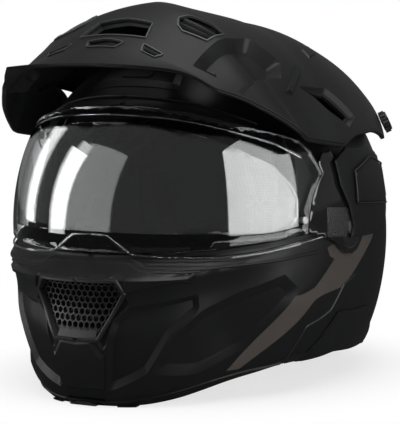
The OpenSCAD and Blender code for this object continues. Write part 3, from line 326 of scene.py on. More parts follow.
class Form:
    """Rounded form about the hinge axis, with its side drawn in where a table says so."""

    MIDDLE_POINTS = 2.6
    LEVEL_REACH = (20.0, 240.0)
    LEVEL_HALVINGS = 22

    def __init__(self, radii, half_w, drawn_in=((-90, 0), (270, 0))):
        self.radii = radii
        self.half_w = half_w
        self.drawn_in = drawn_in

    def width(self, angle, r):
        return 1 - smooth(self.drawn_in, wrapped(angle)) * smooth(DRAWN_IN_FROM, r)

    def at(self, angle, t, lift=0.0):
        """Points in space at an angle round the hinge and a turn t from the middle plane to its end."""
        t = np.radians(t)
        r = (smooth(self.radii, wrapped(angle)) + lift) * np.maximum(0, np.cos(t)) ** (2 / ROUNDNESS)
        x = (self.half_w + lift) * np.maximum(0, np.sin(t)) ** (2 / ROUNDNESS) * self.width(angle, r)
        turn = np.radians(angle)
        return np.stack([x, HINGE_Y - r * np.cos(turn), HINGE_Z + r * np.sin(turn)], -1)

    def on(self, disc, lift=0.0):
        """Points in space of points of the flat disc."""
        disc = np.asarray(disc, float)
        t = np.interp(np.hypot(disc[:, 0], disc[:, 1]), ARC, ARC_TURN)
        return self.at(np.degrees(np.arctan2(disc[:, 1], disc[:, 0])), t, lift)

    def turn_at(self, angle, r, lift=0.0):
        share = np.minimum(1, np.asarray(r, float) / (smooth(self.radii, wrapped(angle)) + lift))
        return np.degrees(np.arccos(share ** (ROUNDNESS / 2)))

    def disc(self, angle, r):
        """Points of the flat disc from angles and radii. A radius of None is the middle of the helmet."""
        angle = np.atleast_1d(np.asarray(angle, float))
        if r is None:
            out = np.full(len(angle), DISC_RIM)
        else:
            out = np.interp(self.turn_at(angle, np.broadcast_to(r, angle.shape)), ARC_TURN[::-1], ARC[::-1])
        return np.stack([out * np.cos(np.radians(angle)), out * np.sin(np.radians(angle))], -1)

    def middle(self, first, last):
        """Disc points on the middle plane, so close together that no straight stretch leaves it."""
        return self.disc(np.linspace(first, last, int(abs(last - first) * self.MIDDLE_POINTS) + 2), None)

    def level(self, phi, z):
        """Angle and radius of the point at height z, phi degrees round from the front, seen from above."""
        low, high = self.LEVEL_REACH
        for _ in range(self.LEVEL_HALVINGS):
            middle = (low + high) / 2
            x, y = middle * sin(radians(phi)), HINGE_Y - middle * cos(radians(phi))
            angle, r = degrees(atan2(z - HINGE_Z, HINGE_Y - y)), hypot(y - HINGE_Y, z - HINGE_Z)
            reach = ((x / self.half_w / self.width(angle, r)) ** ROUNDNESS
                     + (r / smooth(self.radii, wrapped(angle))) ** ROUNDNESS)
            low, high = (low, middle) if reach > 1 else (middle, high)
        return angle, r

    def rim(self, first, last, count):
        """Disc points along the lower rim, between two directions seen from above."""
        found = [self.level(phi, float(smooth(RIM_HEIGHT, phi))) for phi in np.linspace(first, last, count)]
        return self.disc(*columns(found))


def seen_at(points):
    """Where points in space, in millimetres, fall in the photograph, and how near they are to the lens."""
    away = np.asarray(points, float) / 1000 - np.array(CAMERA_AT)
    depth = -(away @ np.array(towards_camera))
    across = away @ np.array(camera_right)
    above = away @ np.array(camera_up)
    return np.stack([PHOTO_SIZE[0] / 2 + LENS_PIXELS * across / depth,
                     PHOTO_SIZE[1] / 2 - LENS_PIXELS * above / depth], -1), -depth


def inside(points, polygon):
    points = np.asarray(points, float)
    polygon = np.asarray(polygon, float)
    hit = np.zeros(len(points), bool)
    for a, b in zip(polygon, np.roll(polygon, -1, axis=0)):
        if a[1] != b[1]:
            crosses = (a[1] > points[:, 1]) != (b[1] > points[:, 1])
            hit ^= crosses & (points[:, 0] < (b[0] - a[0]) * (points[:, 1] - a[1]) / (b[1] - a[1]) + a[0])
    return hit


def edge_distance(points, polygon):
    """Distance from points to a polygon's edge."""
    points = np.asarray(points, float)
    best = np.full(len(points), np.inf)
    for a, b in zip(polygon, np.roll(polygon, -1, axis=0)):
        d = b - a
        u = np.clip(((points - a) @ d) / max(d @ d, 1e-9), 0, 1)
        best = np.minimum(best, np.linalg.norm(points - a - u[:, None] * d, axis=1))
    return best


def fine(line, step, closed=False):
    """The same line with more points on its stretches."""
    line = np.asarray(line, float)
    ends = np.roll(line, -1, axis=0) if closed else line[1:]
    out = []
    for a, b in zip(line, ends):
        count = max(1, int(np.ceil(np.linalg.norm(b - a) / step)))
        out.extend(a + (b - a) * k / count for k in range(count))
    if not closed:
        out.append(line[-1])
    return np.array(out)


def way_round(polygon):
    """1 for a polygon that runs anticlockwise, and -1 for the other way."""
    return 1 if np.sum(np.cross(polygon, np.roll(polygon, -1, axis=0))) > 0 else -1


def grown(polygon, distance):
    """A polygon moved outwards by a distance, or inwards where it is negative."""
    sharpest = 0.6
    polygon = np.asarray(polygon, float)
    before = unit(polygon - np.roll(polygon, 1, axis=0))
    after = unit(np.roll(polygon, -1, axis=0) - polygon)
    out_of = way_round(polygon) * np.stack([before[:, 1] + after[:, 1], -before[:, 0] - after[:, 0]], -1)
    return polygon + distance * 2 * out_of / np.maximum(np.sum(out_of * out_of, axis=1), sharpest)[:, None]


def runs_inside(line, polygon):
    """The parts of a closed line that lie inside a polygon."""
    clearance = 0.5
    held = inside(line, grown(polygon, -clearance))
    if held.all():
        return [line]
    if not held.any():
        return []
    turn = np.argmin(held)
    line, held = np.roll(line, -turn, axis=0), np.roll(held, -turn)
    starts = np.flatnonzero(held & ~np.roll(held, 1))
    ends = np.flatnonzero(held & ~np.roll(held, -1))
    return [line[a:b + 1] for a, b in zip(starts, ends) if b > a]


class Dent:
    """Part of a surface that is pressed in, or raised where its depth is negative, with a flat sloping wall
    between two crisp edges."""

    def __init__(self, outline, depth, wall):
        self.outline = np.asarray(outline, float)
        self.depth = depth
        self.wall = wall
        self.edges = [self.outline, grown(self.outline, -wall)]

    def lift(self, points):
        share = np.clip(edge_distance(points, self.outline) / self.wall, 0, 1)
        return np.where(inside(points, self.outline), -self.depth * share, 0)


MIRRORED = np.array([-1, 1, 1])
# Points nearer to the middle plane than this, in millimetres, belong to both halves
SEAM = 2e-3
# Height of an even triangle on a side of 1
TRIANGLE_HEIGHT = 0.866
RIM_BULGE = 0.5
RIM_STEPS = 3
RIM_SQUARENESS = 0.6


def flat_mesh(outline, holes, lines, spacing):
    """Even triangles over a layout that keep to its outline, its holes and some lines, each (points,
    closed, crisp). Gives the points, the triangles, and the edges along the crisp lines."""
    nearest, merged, smallest_area, batch = 0.5, 1e-4, 1e-6, 200
    verts, edges, crisp = [], [], set()
    for line, closed, sharp in [(outline, True, False)] + [(hole, True, False) for hole in holes] + lines:
        first = len(verts)
        verts.extend(line)
        for k in range(len(line) - (0 if closed else 1)):
            if sharp:
                crisp.add(len(edges))
            edges.append((first + k, first + (k + 1) % len(line)))
    fixed = np.array(verts)

    def kept(points):
        keep = inside(points, outline)
        for hole in holes:
            keep &= ~inside(points, hole)
        return keep

    low, high = outline.min(0), outline.max(0)
    rows = np.arange(low[1], high[1], spacing * TRIANGLE_HEIGHT)
    grid = np.array([(x + (j % 2) * spacing / 2, y) for j, y in enumerate(rows)
                     for x in np.arange(low[0], high[0], spacing)])
    grid = grid[kept(grid)]
    near = np.full(len(grid), np.inf)
    for part in np.array_split(fixed, max(1, len(fixed) // batch)):
        near = np.minimum(near, np.min(np.linalg.norm(grid[:, None] - part[None], axis=2), axis=1))
    grid = grid[near > spacing * nearest]
    points = [Vector(p) for p in np.concatenate([fixed, grid])]
    flat, cuts, faces, _, origins, _ = delaunay_2d_cdt(points, edges, [], 0, merged)
    flat = np.array([(p.x, p.y) for p in flat])
    faces = np.array(faces)
    area = np.cross(flat[faces[:, 1]] - flat[faces[:, 0]], flat[faces[:, 2]] - flat[faces[:, 0]])
    faces = faces[kept(flat[faces].mean(1)) & (np.abs(area) > smallest_area)]
    used = np.unique(faces)
    index = np.full(len(flat), -1)
    index[used] = np.arange(len(used))
    creases = [(index[a], index[b]) for (a, b), origin in zip(cuts, origins)
               if index[a] >= 0 and index[b] >= 0 and any(edge in crisp for edge in origin)]
    return flat[used], index[faces], creases


def half_round_rim(outer, inner, faces):
    """Points and faces that close the edges between an outer and an inner face, except on the seam."""
    directed = {}
    for tri in faces:
        for k in range(3):
            directed[(tri[k], tri[(k + 1) % 3])] = tri[(k + 2) % 3]
    border = [(a, b) for a, b in directed if (b, a) not in directed
              and not (abs(outer[a][0]) < SEAM and abs(outer[b][0]) < SEAM)]
    out_of = {}
    for a, b in border:
        along = outer[b] - outer[a]
        across = outer[directed[(a, b)]] - outer[a]
        away = -(across - along * (across @ along) / max(along @ along, 1e-9))
        away /= max(np.linalg.norm(away), 1e-9)
        for end in (a, b):
            out_of[end] = out_of.get(end, 0) + away
    points, rings = [], {}
    count = len(outer)
    for v, away in out_of.items():
        away = away / max(np.linalg.norm(away), 1e-9)
        if abs(outer[v][0]) < SEAM:
            away[0] = 0
        rings[v] = [v]
        for k in range(1, RIM_STEPS + 1):
            turn = pi * k / (RIM_STEPS + 1)
            mix = (1 - np.sign(cos(turn)) * abs(cos(turn)) ** RIM_SQUARENESS) / 2
            rings[v].append(2 * count + len(points))
            bulge = away * RIM_BULGE * sin(turn) ** RIM_SQUARENESS
            points.append(outer[v] * (1 - mix) + inner[v] * mix + bulge)
        rings[v].append(count + v)
    quads = [(rings[b][k], rings[b][k + 1], rings[a][k + 1], rings[a][k])
             for a, b in border for k in range(RIM_STEPS + 1)]
    return points, quads


def shell_mesh(name, place, outline, wall, spacing=3.5, holes=(), dents=(), paint=None):
    """Closed shell of both halves of a piece from the flat layout of its +X half.

    place(points, lift) gives points in space. Edges on the middle plane are joined to the other half, and
    the others get a rounded rim between the outer and the inner face. What lies inside the outline called
    paint takes the piece's second material."""
    outline_share, hole_share, line_share = 0.8, 0.6, 0.7
    outline = fine(outline, spacing * outline_share, True)
    holes = [fine(hole, spacing * hole_share, True) for hole in holes]
    lines = [(edge, True) for dent in dents for edge in dent.edges]
    if paint is not None:
        lines.append((paint, False))
    lines = [(fine(line, spacing * line_share, True), crisp) for line, crisp in lines]
    lines = [(run, len(run) == len(line), crisp)
             for line, crisp in lines for run in runs_inside(line, outline)]
    flat, faces, creases = flat_mesh(outline, holes, lines, spacing)
    height = sum((dent.lift(flat) for dent in dents), np.zeros(len(flat)))
    outer, inner = place(flat, height), place(flat, height - wall)
    normals = np.cross(outer[faces[:, 1]] - outer[faces[:, 0]], outer[faces[:, 2]] - outer[faces[:, 0]])
    if np.mean(np.einsum("ij,ij->i", normals, (outer - inner)[faces[:, 0]])) < 0:
        faces = faces[:, ::-1]
    rim_points, rim_faces = half_round_rim(outer, inner, faces)
    points = np.concatenate([outer, inner, rim_points])
    shapes = [tuple(f) for f in faces] + [tuple(len(flat) + v for v in f[::-1]) for f in faces] + rim_faces
    slots = np.zeros(len(shapes), int)
    if paint is not None:
        slots[:len(faces)] = inside(flat[faces].mean(1), paint)
    on_seam = np.abs(points[:, 0]) < SEAM
    points[on_seam, 0] = 0
    twin = np.where(on_seam, np.arange(len(points)), 0)
    twin[~on_seam] = len(points) + np.arange(np.count_nonzero(~on_seam))
    other = points[~on_seam] * MIRRORED
    shapes += [tuple(int(twin[v]) for v in f[::-1]) for f in shapes]
    creases += [(int(twin[a]), int(twin[b])) for a, b in creases]
    return new_piece(name, np.concatenate([points, other]), shapes, creases, np.tile(slots, 2))


def select_only(piece):
    bpy.ops.object.select_all(action="DESELECT")
    piece.select_set(True)
    bpy.context.view_layer.objects.active = piece


def new_piece(name, points, faces, creases=(), slots=None):
    """A mesh object from points in millimetres, with its normals made to point outwards."""
    points = np.asarray(points, float)
    mesh = bpy.data.meshes.new(name)
    mesh.from_pydata([tuple(p) for p in points / 1000], [], [tuple(int(v) for v in f) for f in faces])
    if slots is not None:
        mesh.polygons.foreach_set("material_index", slots)
    piece = bpy.data.objects.new(name, mesh)
    bpy.context.collection.objects.link(piece)
    select_only(piece)
    bpy.ops.object.mode_set(mode="EDIT")
    bpy.ops.mesh.select_all(action="SELECT")
    bpy.ops.mesh.remove_doubles(threshold=1e-6)
    bpy.ops.mesh.normals_make_consistent(inside=False)
    bpy.ops.object.mode_set(mode="OBJECT")
    bpy.ops.object.shade_smooth_by_angle(angle=radians(CREASE))
    if creases:
        pairs = {frozenset(tuple(np.round(points[v], 2)) for v in edge) for edge in creases}
        keys = [tuple(np.round(np.array(v.co) * 1000, 2)) for v in mesh.vertices]
        for edge in mesh.edges:
            if frozenset(keys[v] for v in edge.vertices) in pairs:
                edge.use_edge_sharp = True
    return piece


def tube_faces(rows, around, closed=False, capped=True):
    """Faces between rings of points, one ring a row, with a flat cap on each end."""
    steps = rows if closed else rows - 1
    faces = [(i * around + k, i * around + (k + 1) % around, (i + 1) % rows * around + (k + 1) % around,
              (i + 1) % rows * around + k) for i in range(steps) for k in range(around)]
    if capped and not closed:
        faces += [tuple(range(around))[::-1], tuple(range((rows - 1) * around, rows * around))]
    return faces


def bead(name, place, line, profile, closed=False):
    """Strip on both sides along a line of a surface's layout. Its profile's points are (beyond the line,
    out of the surface). Its ends on the middle plane are joined to those of the other half."""
    near_seam = 0.01
    line = np.asarray(line, float)
    ahead = unit(np.roll(line, -1, 0) - np.roll(line, 1, 0) if closed else np.gradient(line, axis=0))
    beside = np.stack([ahead[:, 1], -ahead[:, 0]], -1)
    rings = []
    for across, lift in profile:
        spots = line + beside * across
        for end in () if closed else (0, -1):
            if abs(place(line[[end]], np.zeros(1))[0][0]) < near_seam:
                spots[end] = line[end] * (1 + across / np.linalg.norm(line[end])
                                          * np.sign(line[end] @ beside[end]))
        rings.append(place(spots, np.full(len(line), float(lift))))
    points = np.stack(rings, 1)
    points[np.abs(points[:, :, 0]) < 2 * near_seam, 0] = 0
    count, around = len(line), len(profile)
    faces = tube_faces(count, around, closed, capped=False)
    for end in () if closed else (0, count - 1):
        if np.any(np.abs(points[end, :, 0]) > near_seam):
            ring = tuple(end * around + k for k in range(around))
            faces.append(ring if end else ring[::-1])
    points = points.reshape(-1, 3)
    faces += [tuple(len(points) + v for v in face[::-1]) for face in faces]
    return new_piece(name, np.concatenate([points, points * MIRRORED]), faces)


def rounded(across, lift, width, height):
    """Profile of a bead with a half round top: from a foot at a lift, of a width and a height."""
    steps = 8
    turns = [pi * k / steps for k in range(steps + 1)]
    return [(across + width / 2 * cos(t), lift + height * sin(t)) for t in turns]


def approach(here, at, target, longest):
    """A layout point moved nearer to the one whose place is the target, by the slopes there. None where it
    can't be: the surface is seen too flat."""
    reach, flattest = 0.5, 0.02
    spots = at(np.array([here, here + (reach, 0), here + (0, reach)]))
    slope = np.stack([spots[1] - spots[0], spots[2] - spots[0]], -1) / reach
    if abs(np.linalg.det(slope)) < flattest:
        return None
    step = np.linalg.solve(slope, np.asarray(target, float) - spots[0])
    return here + step * min(1, longest / max(np.linalg.norm(step), 1e-9))


def traced(place, outline, pixels):
    """Layout points of the places on a surface that the photograph shows at these pixels. Where a pixel
    shows two places, the nearer one to the camera is meant."""
    grid_step, as_close, tries, longest = 2.0, 2.5, 12, 6
    outline = np.asarray(outline, float)
    sides = [np.arange(low, high, grid_step) for low, high in zip(outline.min(0), outline.max(0))]
    grid = np.stack(np.meshgrid(*sides), -1).reshape(-1, 2)
    grid = grid[inside(grid, outline)]
    pixel, near = seen_at(place(grid, np.zeros(len(grid))))
    found = []
    for target in pixels:
        off = np.linalg.norm(pixel - target, axis=1)
        close = off < off.min() + as_close
        here = grid[close][np.argmax(near[close])]
        for _ in range(tries):
            nearer = approach(here, lambda spots: seen_at(place(spots, np.zeros(3)))[0], target, longest)
            if nearer is None:
                break
            here = nearer
        found.append(here)
    return np.array(found)


def lacquer(name, colour, roughness, grain=0.0, grain_size=0.0006, coat=0.0, specular=0.5):
    """Painted or moulded plastic: slight colour and gloss variation, and a fine grain or orange peel."""
    nodes, material, place = new_material(name)
    broad = nodes.noise(place, 14.0, Detail=3.0)
    specks = nodes.noise(place, 0.7 / grain_size, Detail=2.0)
    tint = nodes.tint(broad.between(0.3, 0.7), shaded(colour, 0.88), shaded(colour, 1.12))
    nodes.end(nodes.skin(Base_Color=tint, Normal=nodes.bump(specks, grain, grain_size * 0.4),
                         Roughness=(broad - 0.5) * 0.10 + (specks - 0.5) * 0.06 + roughness,
                         Specular_IOR_Level=specular, Coat_Weight=coat, Coat_Roughness=0.06))
    return material


def shaded(colour, share):
    return tuple(c * share for c in colour)


def finish(piece, *materials):
    """Gives a piece its materials. A face keeps its number among them, where there is one."""
    indices = np.zeros(len(piece.data.polygons), np.int32)
    piece.data.polygons.foreach_get("material_index", indices)
    piece.data.materials.clear()
    for material in materials:
        piece.data.materials.append(material)
    piece.data.polygons.foreach_set("material_index", np.minimum(indices, len(materials) - 1))


MATTE_BLACK = (0.0080, 0.0082, 0.0090)
shell_form = Form(SHELL_RADII, SHELL_HALF_W)
nape_angle = shell_form.level(*RIM_HEIGHT[-1])[0] % 360
shell_outline = np.concatenate([
    shell_form.middle(BROW_ANGLE, nape_angle),
    shell_form.rim(*SHELL_FOOT),
    shell_form.disc(*columns(EYE_EDGE[::-1]))])

# Raised panel above the ear, behind the visor
EAR_PANEL_PIXELS = [(345, 166), (372, 149), (390, 158), (390, 190), (360, 200)]
EAR_PANEL_DEPTH = -1.2
EAR_PANEL_SLOPE = 3.0
ear_panel = Dent(traced(shell_form.on, shell_outline, EAR_PANEL_PIXELS), EAR_PANEL_DEPTH, EAR_PANEL_SLOPE)
shell = shell_mesh("outer_shell_painted", shell_form.on, shell_outline, SHELL_WALL, dents=[ear_panel])
matte_black = lacquer("matte black lacquer", MATTE_BLACK, 0.40, grain=0.25, specular=0.2)
finish(shell, matte_black)
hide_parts("outer_shell")
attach(shell, "helmet")


# Chin bar: black moulding from ear to ear that swings up about the hinges. It is bevelled into panels round
# the chin vent, and a warm grey stripe is painted down its sides.
CHIN_HALF_W = 122.6
CHIN_RADII = [(-90, 166), (-60, 161), (-50, 166), (-42, 178), (-36.4, 185), (-30, 180), (-22, 173),
              (-15, 163), (-12, 161), (-8.3, 159.6), (-7, 152), (-5.6, 143), (-3.7, 138.5), (40, 143),
              (180, 163), (270, 166)]
CHIN_DRAWN_IN = [(-90, 0), (-56, 0), (-43, 0.12), (-33, 0.145), (-20, 0.115), (-10, 0.06), (-6, 0.035),
                 (-3.7, 0), (270, 0)]
CHIN_TOP_ANGLE = -3.7
CHIN_TOP = [(-3.65, 137.8), (-3.55, 135.1), (-3.4, 130), (-3, 110), (-2.5, 95), (-2, 80), (-1, 65),
            (0.5, 52), (5, 41)]
CHIN_SPLIT = [(-57.6, 78), (-66, 68), (-74, 60), (-85.8, 41.4), (-110, 38), (-135, 40), (-156, 43),
              (-168, 43)]
CHIN_WALL = 3.0
HINGE_RING_R = 36
HINGE_RING_TURNS = np.arange(178, 20, -8)
HINGE_HOLE_R = 18
# The vent's half outline, as angles and distances from the middle plane
VENT_HALF = [(-8.7, 30.5), (-12, 35.5), (-21.9, 17.5)]
VENT_TOP, VENT_FOOT = VENT_HALF[0][0], VENT_HALF[2][0]
# The foot steps up in the middle over the release button
BUTTON_NOTCH_TOP = 6.0
BUTTON_NOTCH_TURN = 5.8
CHIN_REAR_TURN = 61

chin_form = Form(CHIN_RADII, CHIN_HALF_W, CHIN_DRAWN_IN)


def chin_disc_at_x(angle, x):
    """Disc point of the chin form at an angle and at a distance from the middle plane."""
    width = float(1 - smooth(CHIN_DRAWN_IN, angle))
    t = degrees(np.arcsin(min(1, x / CHIN_HALF_W / width) ** (ROUNDNESS / 2)))
    out = np.interp(t, ARC_TURN[::-1], ARC[::-1])
    return out * cos(radians(angle)), out * sin(radians(angle))


notch_corner = chin_form.level(BUTTON_NOTCH_TURN, BUTTON_NOTCH_TOP)
notch_top_angle = chin_form.level(0.01, BUTTON_NOTCH_TOP)[0]
chin_outline = np.concatenate([
    chin_form.disc(*columns(CHIN_TOP[::-1])),
    chin_form.middle(CHIN_TOP_ANGLE, VENT_TOP),
    [chin_disc_at_x(angle, x) for angle, x in VENT_HALF],
    chin_form.middle(VENT_FOOT, notch_top_angle),
    chin_form.disc(*notch_corner),
    chin_form.rim(BUTTON_NOTCH_TURN + 0.5, CHIN_REAR_TURN, 24),
    chin_form.disc(*columns(CHIN_SPLIT)),
    chin_form.disc(HINGE_RING_TURNS, HINGE_RING_R)])

# Facets of the chin round the vent, as the photograph shows them: the ridge and the border to the right of
# the vent, the hollow panel beside it, the front panel below it and the crease towards the rear
RIDGE_PIXELS = [(122, 278), (187, 276), (196, 271), (192, 285), (176, 283), (124, 294)]
HOLLOW_PIXELS = [(130, 307), (198, 294), (200, 310), (170, 335), (147, 374), (110, 391), (106, 388),
                 (107, 349), (114, 321)]
BORDER_PIXELS = [(123, 294), (129, 305), (112, 321), (106, 347), (102, 352), (94, 338)]
FRONT_PIXELS = [(62, 339), (91, 339), (101, 354), (104, 356), (104, 390), (73, 393)]
REAR_PIXELS = [(203, 310), (240, 292), (285, 274), (300, 290), (250, 345), (196, 374), (150, 374),
               (172, 337)]
# Each facet's depth and the width of its wall
CHIN_FACETS = ((HOLLOW_PIXELS, 3.2, 4.0), (BORDER_PIXELS, 1.6, 1.8), (REAR_PIXELS, 1.8, 6.0),
               (FRONT_PIXELS, -2.0, 2.5), (RIDGE_PIXELS, -1.8, 1.6))
# The front panel's first and last points are moved past the middle plane, so that both halves meet
PAST_THE_MIDDLE = 1.08
chin_dents = []
for pixels, depth, wall in CHIN_FACETS:
    facet = traced(chin_form.on, chin_outline, pixels)
    if pixels is FRONT_PIXELS:
        facet[[0, -1]] *= PAST_THE_MIDDLE
    chin_dents.append(Dent(facet, depth, wall))

# Stripe: a warm grey band with two teeth, painted on each side of the chin bar, traced in the photograph
STRIPE_PIXELS = [(375, 231), (340, 240), (327.5, 247.5), (334.5, 259), (315, 287.5), (296, 296), (226, 371),
                 (239, 369), (315, 300), (344, 286), (371, 240)]
STRIPE_COLOUR = (0.062, 0.053, 0.047)

chin = shell_mesh("chin_bar_painted", chin_form.on, chin_outline, CHIN_WALL, dents=chin_dents,
                  holes=[chin_form.disc(np.arange(0, 360, 10), HINGE_HOLE_R)], spacing=3.0,
                  paint=traced(chin_form.on, chin_outline, STRIPE_PIXELS))
finish(chin, matte_black, lacquer("warm grey stripe", STRIPE_COLOUR, 0.42, grain=0.25, specular=0.25))
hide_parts("chin_bar")
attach(chin, "chin_bar")

# Rubber along the foot, in the chin bar's groove
rubber = lacquer("black rubber", (0.008, 0.008, 0.0085), 0.5, grain=0.3, grain_size=0.0004, specular=0.25)
CHIN_TRIM_TURNS = (7, 60.5)
chin_rim = chin_form.rim(*CHIN_TRIM_TURNS, 60)
foot = bead("chin_trim_rubber", chin_form.on, chin_rim, rounded(0.6, -3.2, 3.0, 4.0))
finish(foot, rubber)
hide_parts("chin_trim")
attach(foot, "chin_bar")

# Stepped lines below the visor, higher in the middle: the gasket in its groove and the lip over the vent
GASKET_PIXELS = [(96, 256.5), (131, 258), (144, 266.5), (200, 268), (262, 263), (318, 252)]
LIP_PIXELS = [(96, 262), (128, 263.5), (141, 271), (175, 272), (200, 271.5)]


def from_middle(form, line):
    """A layout line that starts on the middle plane, at the angle of its first point."""
    return np.concatenate([form.disc(degrees(atan2(line[0][1], line[0][0])), None), line])


def middle_and(form, angle, rows):
    """A layout line from the middle plane at an angle through a table of angles and radii."""
    return np.concatenate([form.disc(angle, None), form.disc(*columns(rows))])


for name, pixels, profile in (("chin_gasket_line", GASKET_PIXELS, rounded(0, -0.4, 1.9, 1.3)),
                              ("chin_lip", LIP_PIXELS, rounded(0, -0.4, 1.4, 1.0))):
    line = from_middle(chin_form, traced(chin_form.on, chin_outline, pixels))
    strip = bead(name, chin_form.on, fine(line, 3.0), profile)
    finish(strip, rubber)
    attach(strip, "chin_bar")

# Skirt: the rubber edge below the chin bar, which comes down to the rest pads in front
SKIRT_FOOT = [(0, 0.4), (10, 0.4), (16, 1.2), (24, 4), (32, 8.5), (40, 13), (48, 16.5), (60, 20.6)]
# Its section's points: from the foot of the skirt or from the chin's rim, how far up, and how far out
SKIRT_SECTION = [(RIM_HEIGHT, 0.5, 0.2), (RIM_HEIGHT, 0.4, 0.9), (SKIRT_FOOT, 0.8, 1.0),
                 (SKIRT_FOOT, 0, -0.2), (SKIRT_FOOT, 0.4, -3.0), (RIM_HEIGHT, 0.5, -3.2)]
SKIRT_TURN = 60
skirt_turns = np.linspace(-SKIRT_TURN, SKIRT_TURN, 81)
skirt_points = []
for phi in skirt_turns:
    for heights, rise, lift in SKIRT_SECTION:
        corner = chin_form.level(abs(phi), float(smooth(heights, abs(phi))) + rise)
        skirt_points.append(chin_form.on(chin_form.disc(*corner), lift)[0] * (np.sign(phi) or 1, 1, 1))
skirt = new_piece("chin_skirt", skirt_points, tube_faces(len(skirt_turns), len(SKIRT_SECTION)))
finish(skirt, rubber)
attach(skirt, "chin_bar")

# Chin vent: a six-sided frame pressed into the chin bar, with a honeycomb grille and a lip along its foot
VENT_MIDDLE = -15.0
VENT_FORM_R = 168.0
CELL_PITCH = 4.8
CELL_WALL = 0.5
GRILLE_LIFT = (-2.6, -5.4)
VENT_FRAME_PROFILE = [(-1.6, -5.5), (-1.6, 0.6), (-0.9, 1.3), (0.9, 1.3), (1.7, 0.5), (1.9, -1.5)]
vent_polygon = np.concatenate([chin_form.disc(VENT_TOP, None), [chin_disc_at_x(a, x) for a, x in VENT_HALF],
                               chin_form.disc(VENT_FOOT, None)])


def edged(name, place, outline, line, profile):
    """Bead along an outline's edge, with its profile measured outwards from it."""
    middle = len(line) // 2
    ahead = line[middle + 1] - line[middle]
    right = line[middle] + np.array([ahead[1], -ahead[0]]) / np.linalg.norm(ahead)
    turn = -1 if inside([right], outline)[0] else 1
    return bead(name, place, line, [(turn * across, lift) for across, lift in profile])


def on_vent(points, lift):
    """Points over the chin's middle from (x, length up from the middle of the vent)."""
    points = np.asarray(points, float)
    angle = VENT_MIDDLE + np.degrees(points[:, 1] / VENT_FORM_R)
    width = 1 - smooth(CHIN_DRAWN_IN, angle)
    t = np.degrees(np.arcsin((np.abs(points[:, 0]) / CHIN_HALF_W / width) ** (ROUNDNESS / 2)))
    sides = np.stack([np.sign(points[:, 0]), np.ones(len(t)), np.ones(len(t))], -1)
    return chin_form.at(angle, t, lift) * sides


vent_frame = edged("chin_vent_frame_moulded", chin_form.on, vent_polygon, fine(vent_polygon, 2.0),
                   VENT_FRAME_PROFILE)
moulded = lacquer("moulded black plastic", (0.010, 0.010, 0.0105), 0.36, grain=0.5, grain_size=0.0005,
                  specular=0.35)
finish(vent_frame, moulded)
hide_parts("chin_vent_frame")
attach(vent_frame, "chin_bar")

VENT_LIP_INSET = 1.5
VENT_LIP_PROFILE = [(0.5, 0.4), (0.5, -1.0), (-3.5, -5.0), (-4.2, -3.4)]
lip_y = radians(VENT_FOOT - VENT_MIDDLE) * VENT_FORM_R + VENT_LIP_INSET
lip_line = [(x, lip_y) for x in np.linspace(0, VENT_HALF[2][1] - VENT_LIP_INSET, 8)]
vent_lip = bead("chin_vent_lip", on_vent, lip_line, VENT_LIP_PROFILE)
finish(vent_lip, moulded)
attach(vent_lip, "chin_bar")

# The grille's cells are six-sided tubes side by side, where the vent has room for them
GRILLE_MARGIN = 1.0
grille_area = [(x * side, radians(angle - VENT_MIDDLE) * VENT_FORM_R) for side in (1, -1)
               for angle, x in (VENT_HALF if side > 0 else VENT_HALF[::-1])]
# A cell's corners lie at these shares of the pitch from its middle, further out than its flats
CORNER_TO_FLAT = 1.155
CELL_OUTER = 0.58
CELL_INNER = CELL_OUTER - CELL_WALL / CELL_PITCH * CORNER_TO_FLAT
CELL_RINGS = [(CELL_OUTER, GRILLE_LIFT[0]), (CELL_INNER, GRILLE_LIFT[0]), (CELL_INNER, GRILLE_LIFT[1]),
              (CELL_OUTER, GRILLE_LIFT[1])]
cell_points, cell_faces = [], []
corner_turns = np.radians(np.arange(30, 390, 60))
hexagon = np.stack([np.cos(corner_turns), np.sin(corner_turns)], -1)
for row in range(-8, 9):
    for column in range(-9, 10):
        centre = np.array([(column + row % 2 / 2) * CELL_PITCH, row * CELL_PITCH * TRIANGLE_HEIGHT])
        if inside([centre], grown(grille_area, GRILLE_MARGIN))[0]:
            start = len(cell_points) * len(hexagon)
            cell_points += [on_vent(centre + hexagon * size * CELL_PITCH, lift)
                            for size, lift in CELL_RINGS]
            cell_faces += [tuple(start + v for v in face)
                           for face in tube_faces(len(CELL_RINGS), len(hexagon), closed=True)]
grille = new_piece("chin_vent_honeycomb", np.concatenate(cell_points), cell_faces)
finish(grille, moulded)
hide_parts("chin_vent_grille")
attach(grille, "chin_bar")

# Lip along the chin bar's rear edge, where it meets the shell
split_line = np.concatenate([chin_form.rim(CHIN_REAR_TURN, CHIN_REAR_TURN, 1),
                             chin_form.disc(*columns(CHIN_SPLIT[:5]))])
split_lip = bead("chin_rear_lip", chin_form.on, fine(split_line, 2.5), rounded(0, -0.3, 1.3, 1.1))
finish(split_lip, moulded)
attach(split_lip, "chin_bar")


# Peak: stand-off moulding in black plastic with a fine grain, screwed to the crown and to the sides. Its
# front is a ramp with air windows, and a scoop is pressed into each shoulder.
PEAK_WALL = 2.8
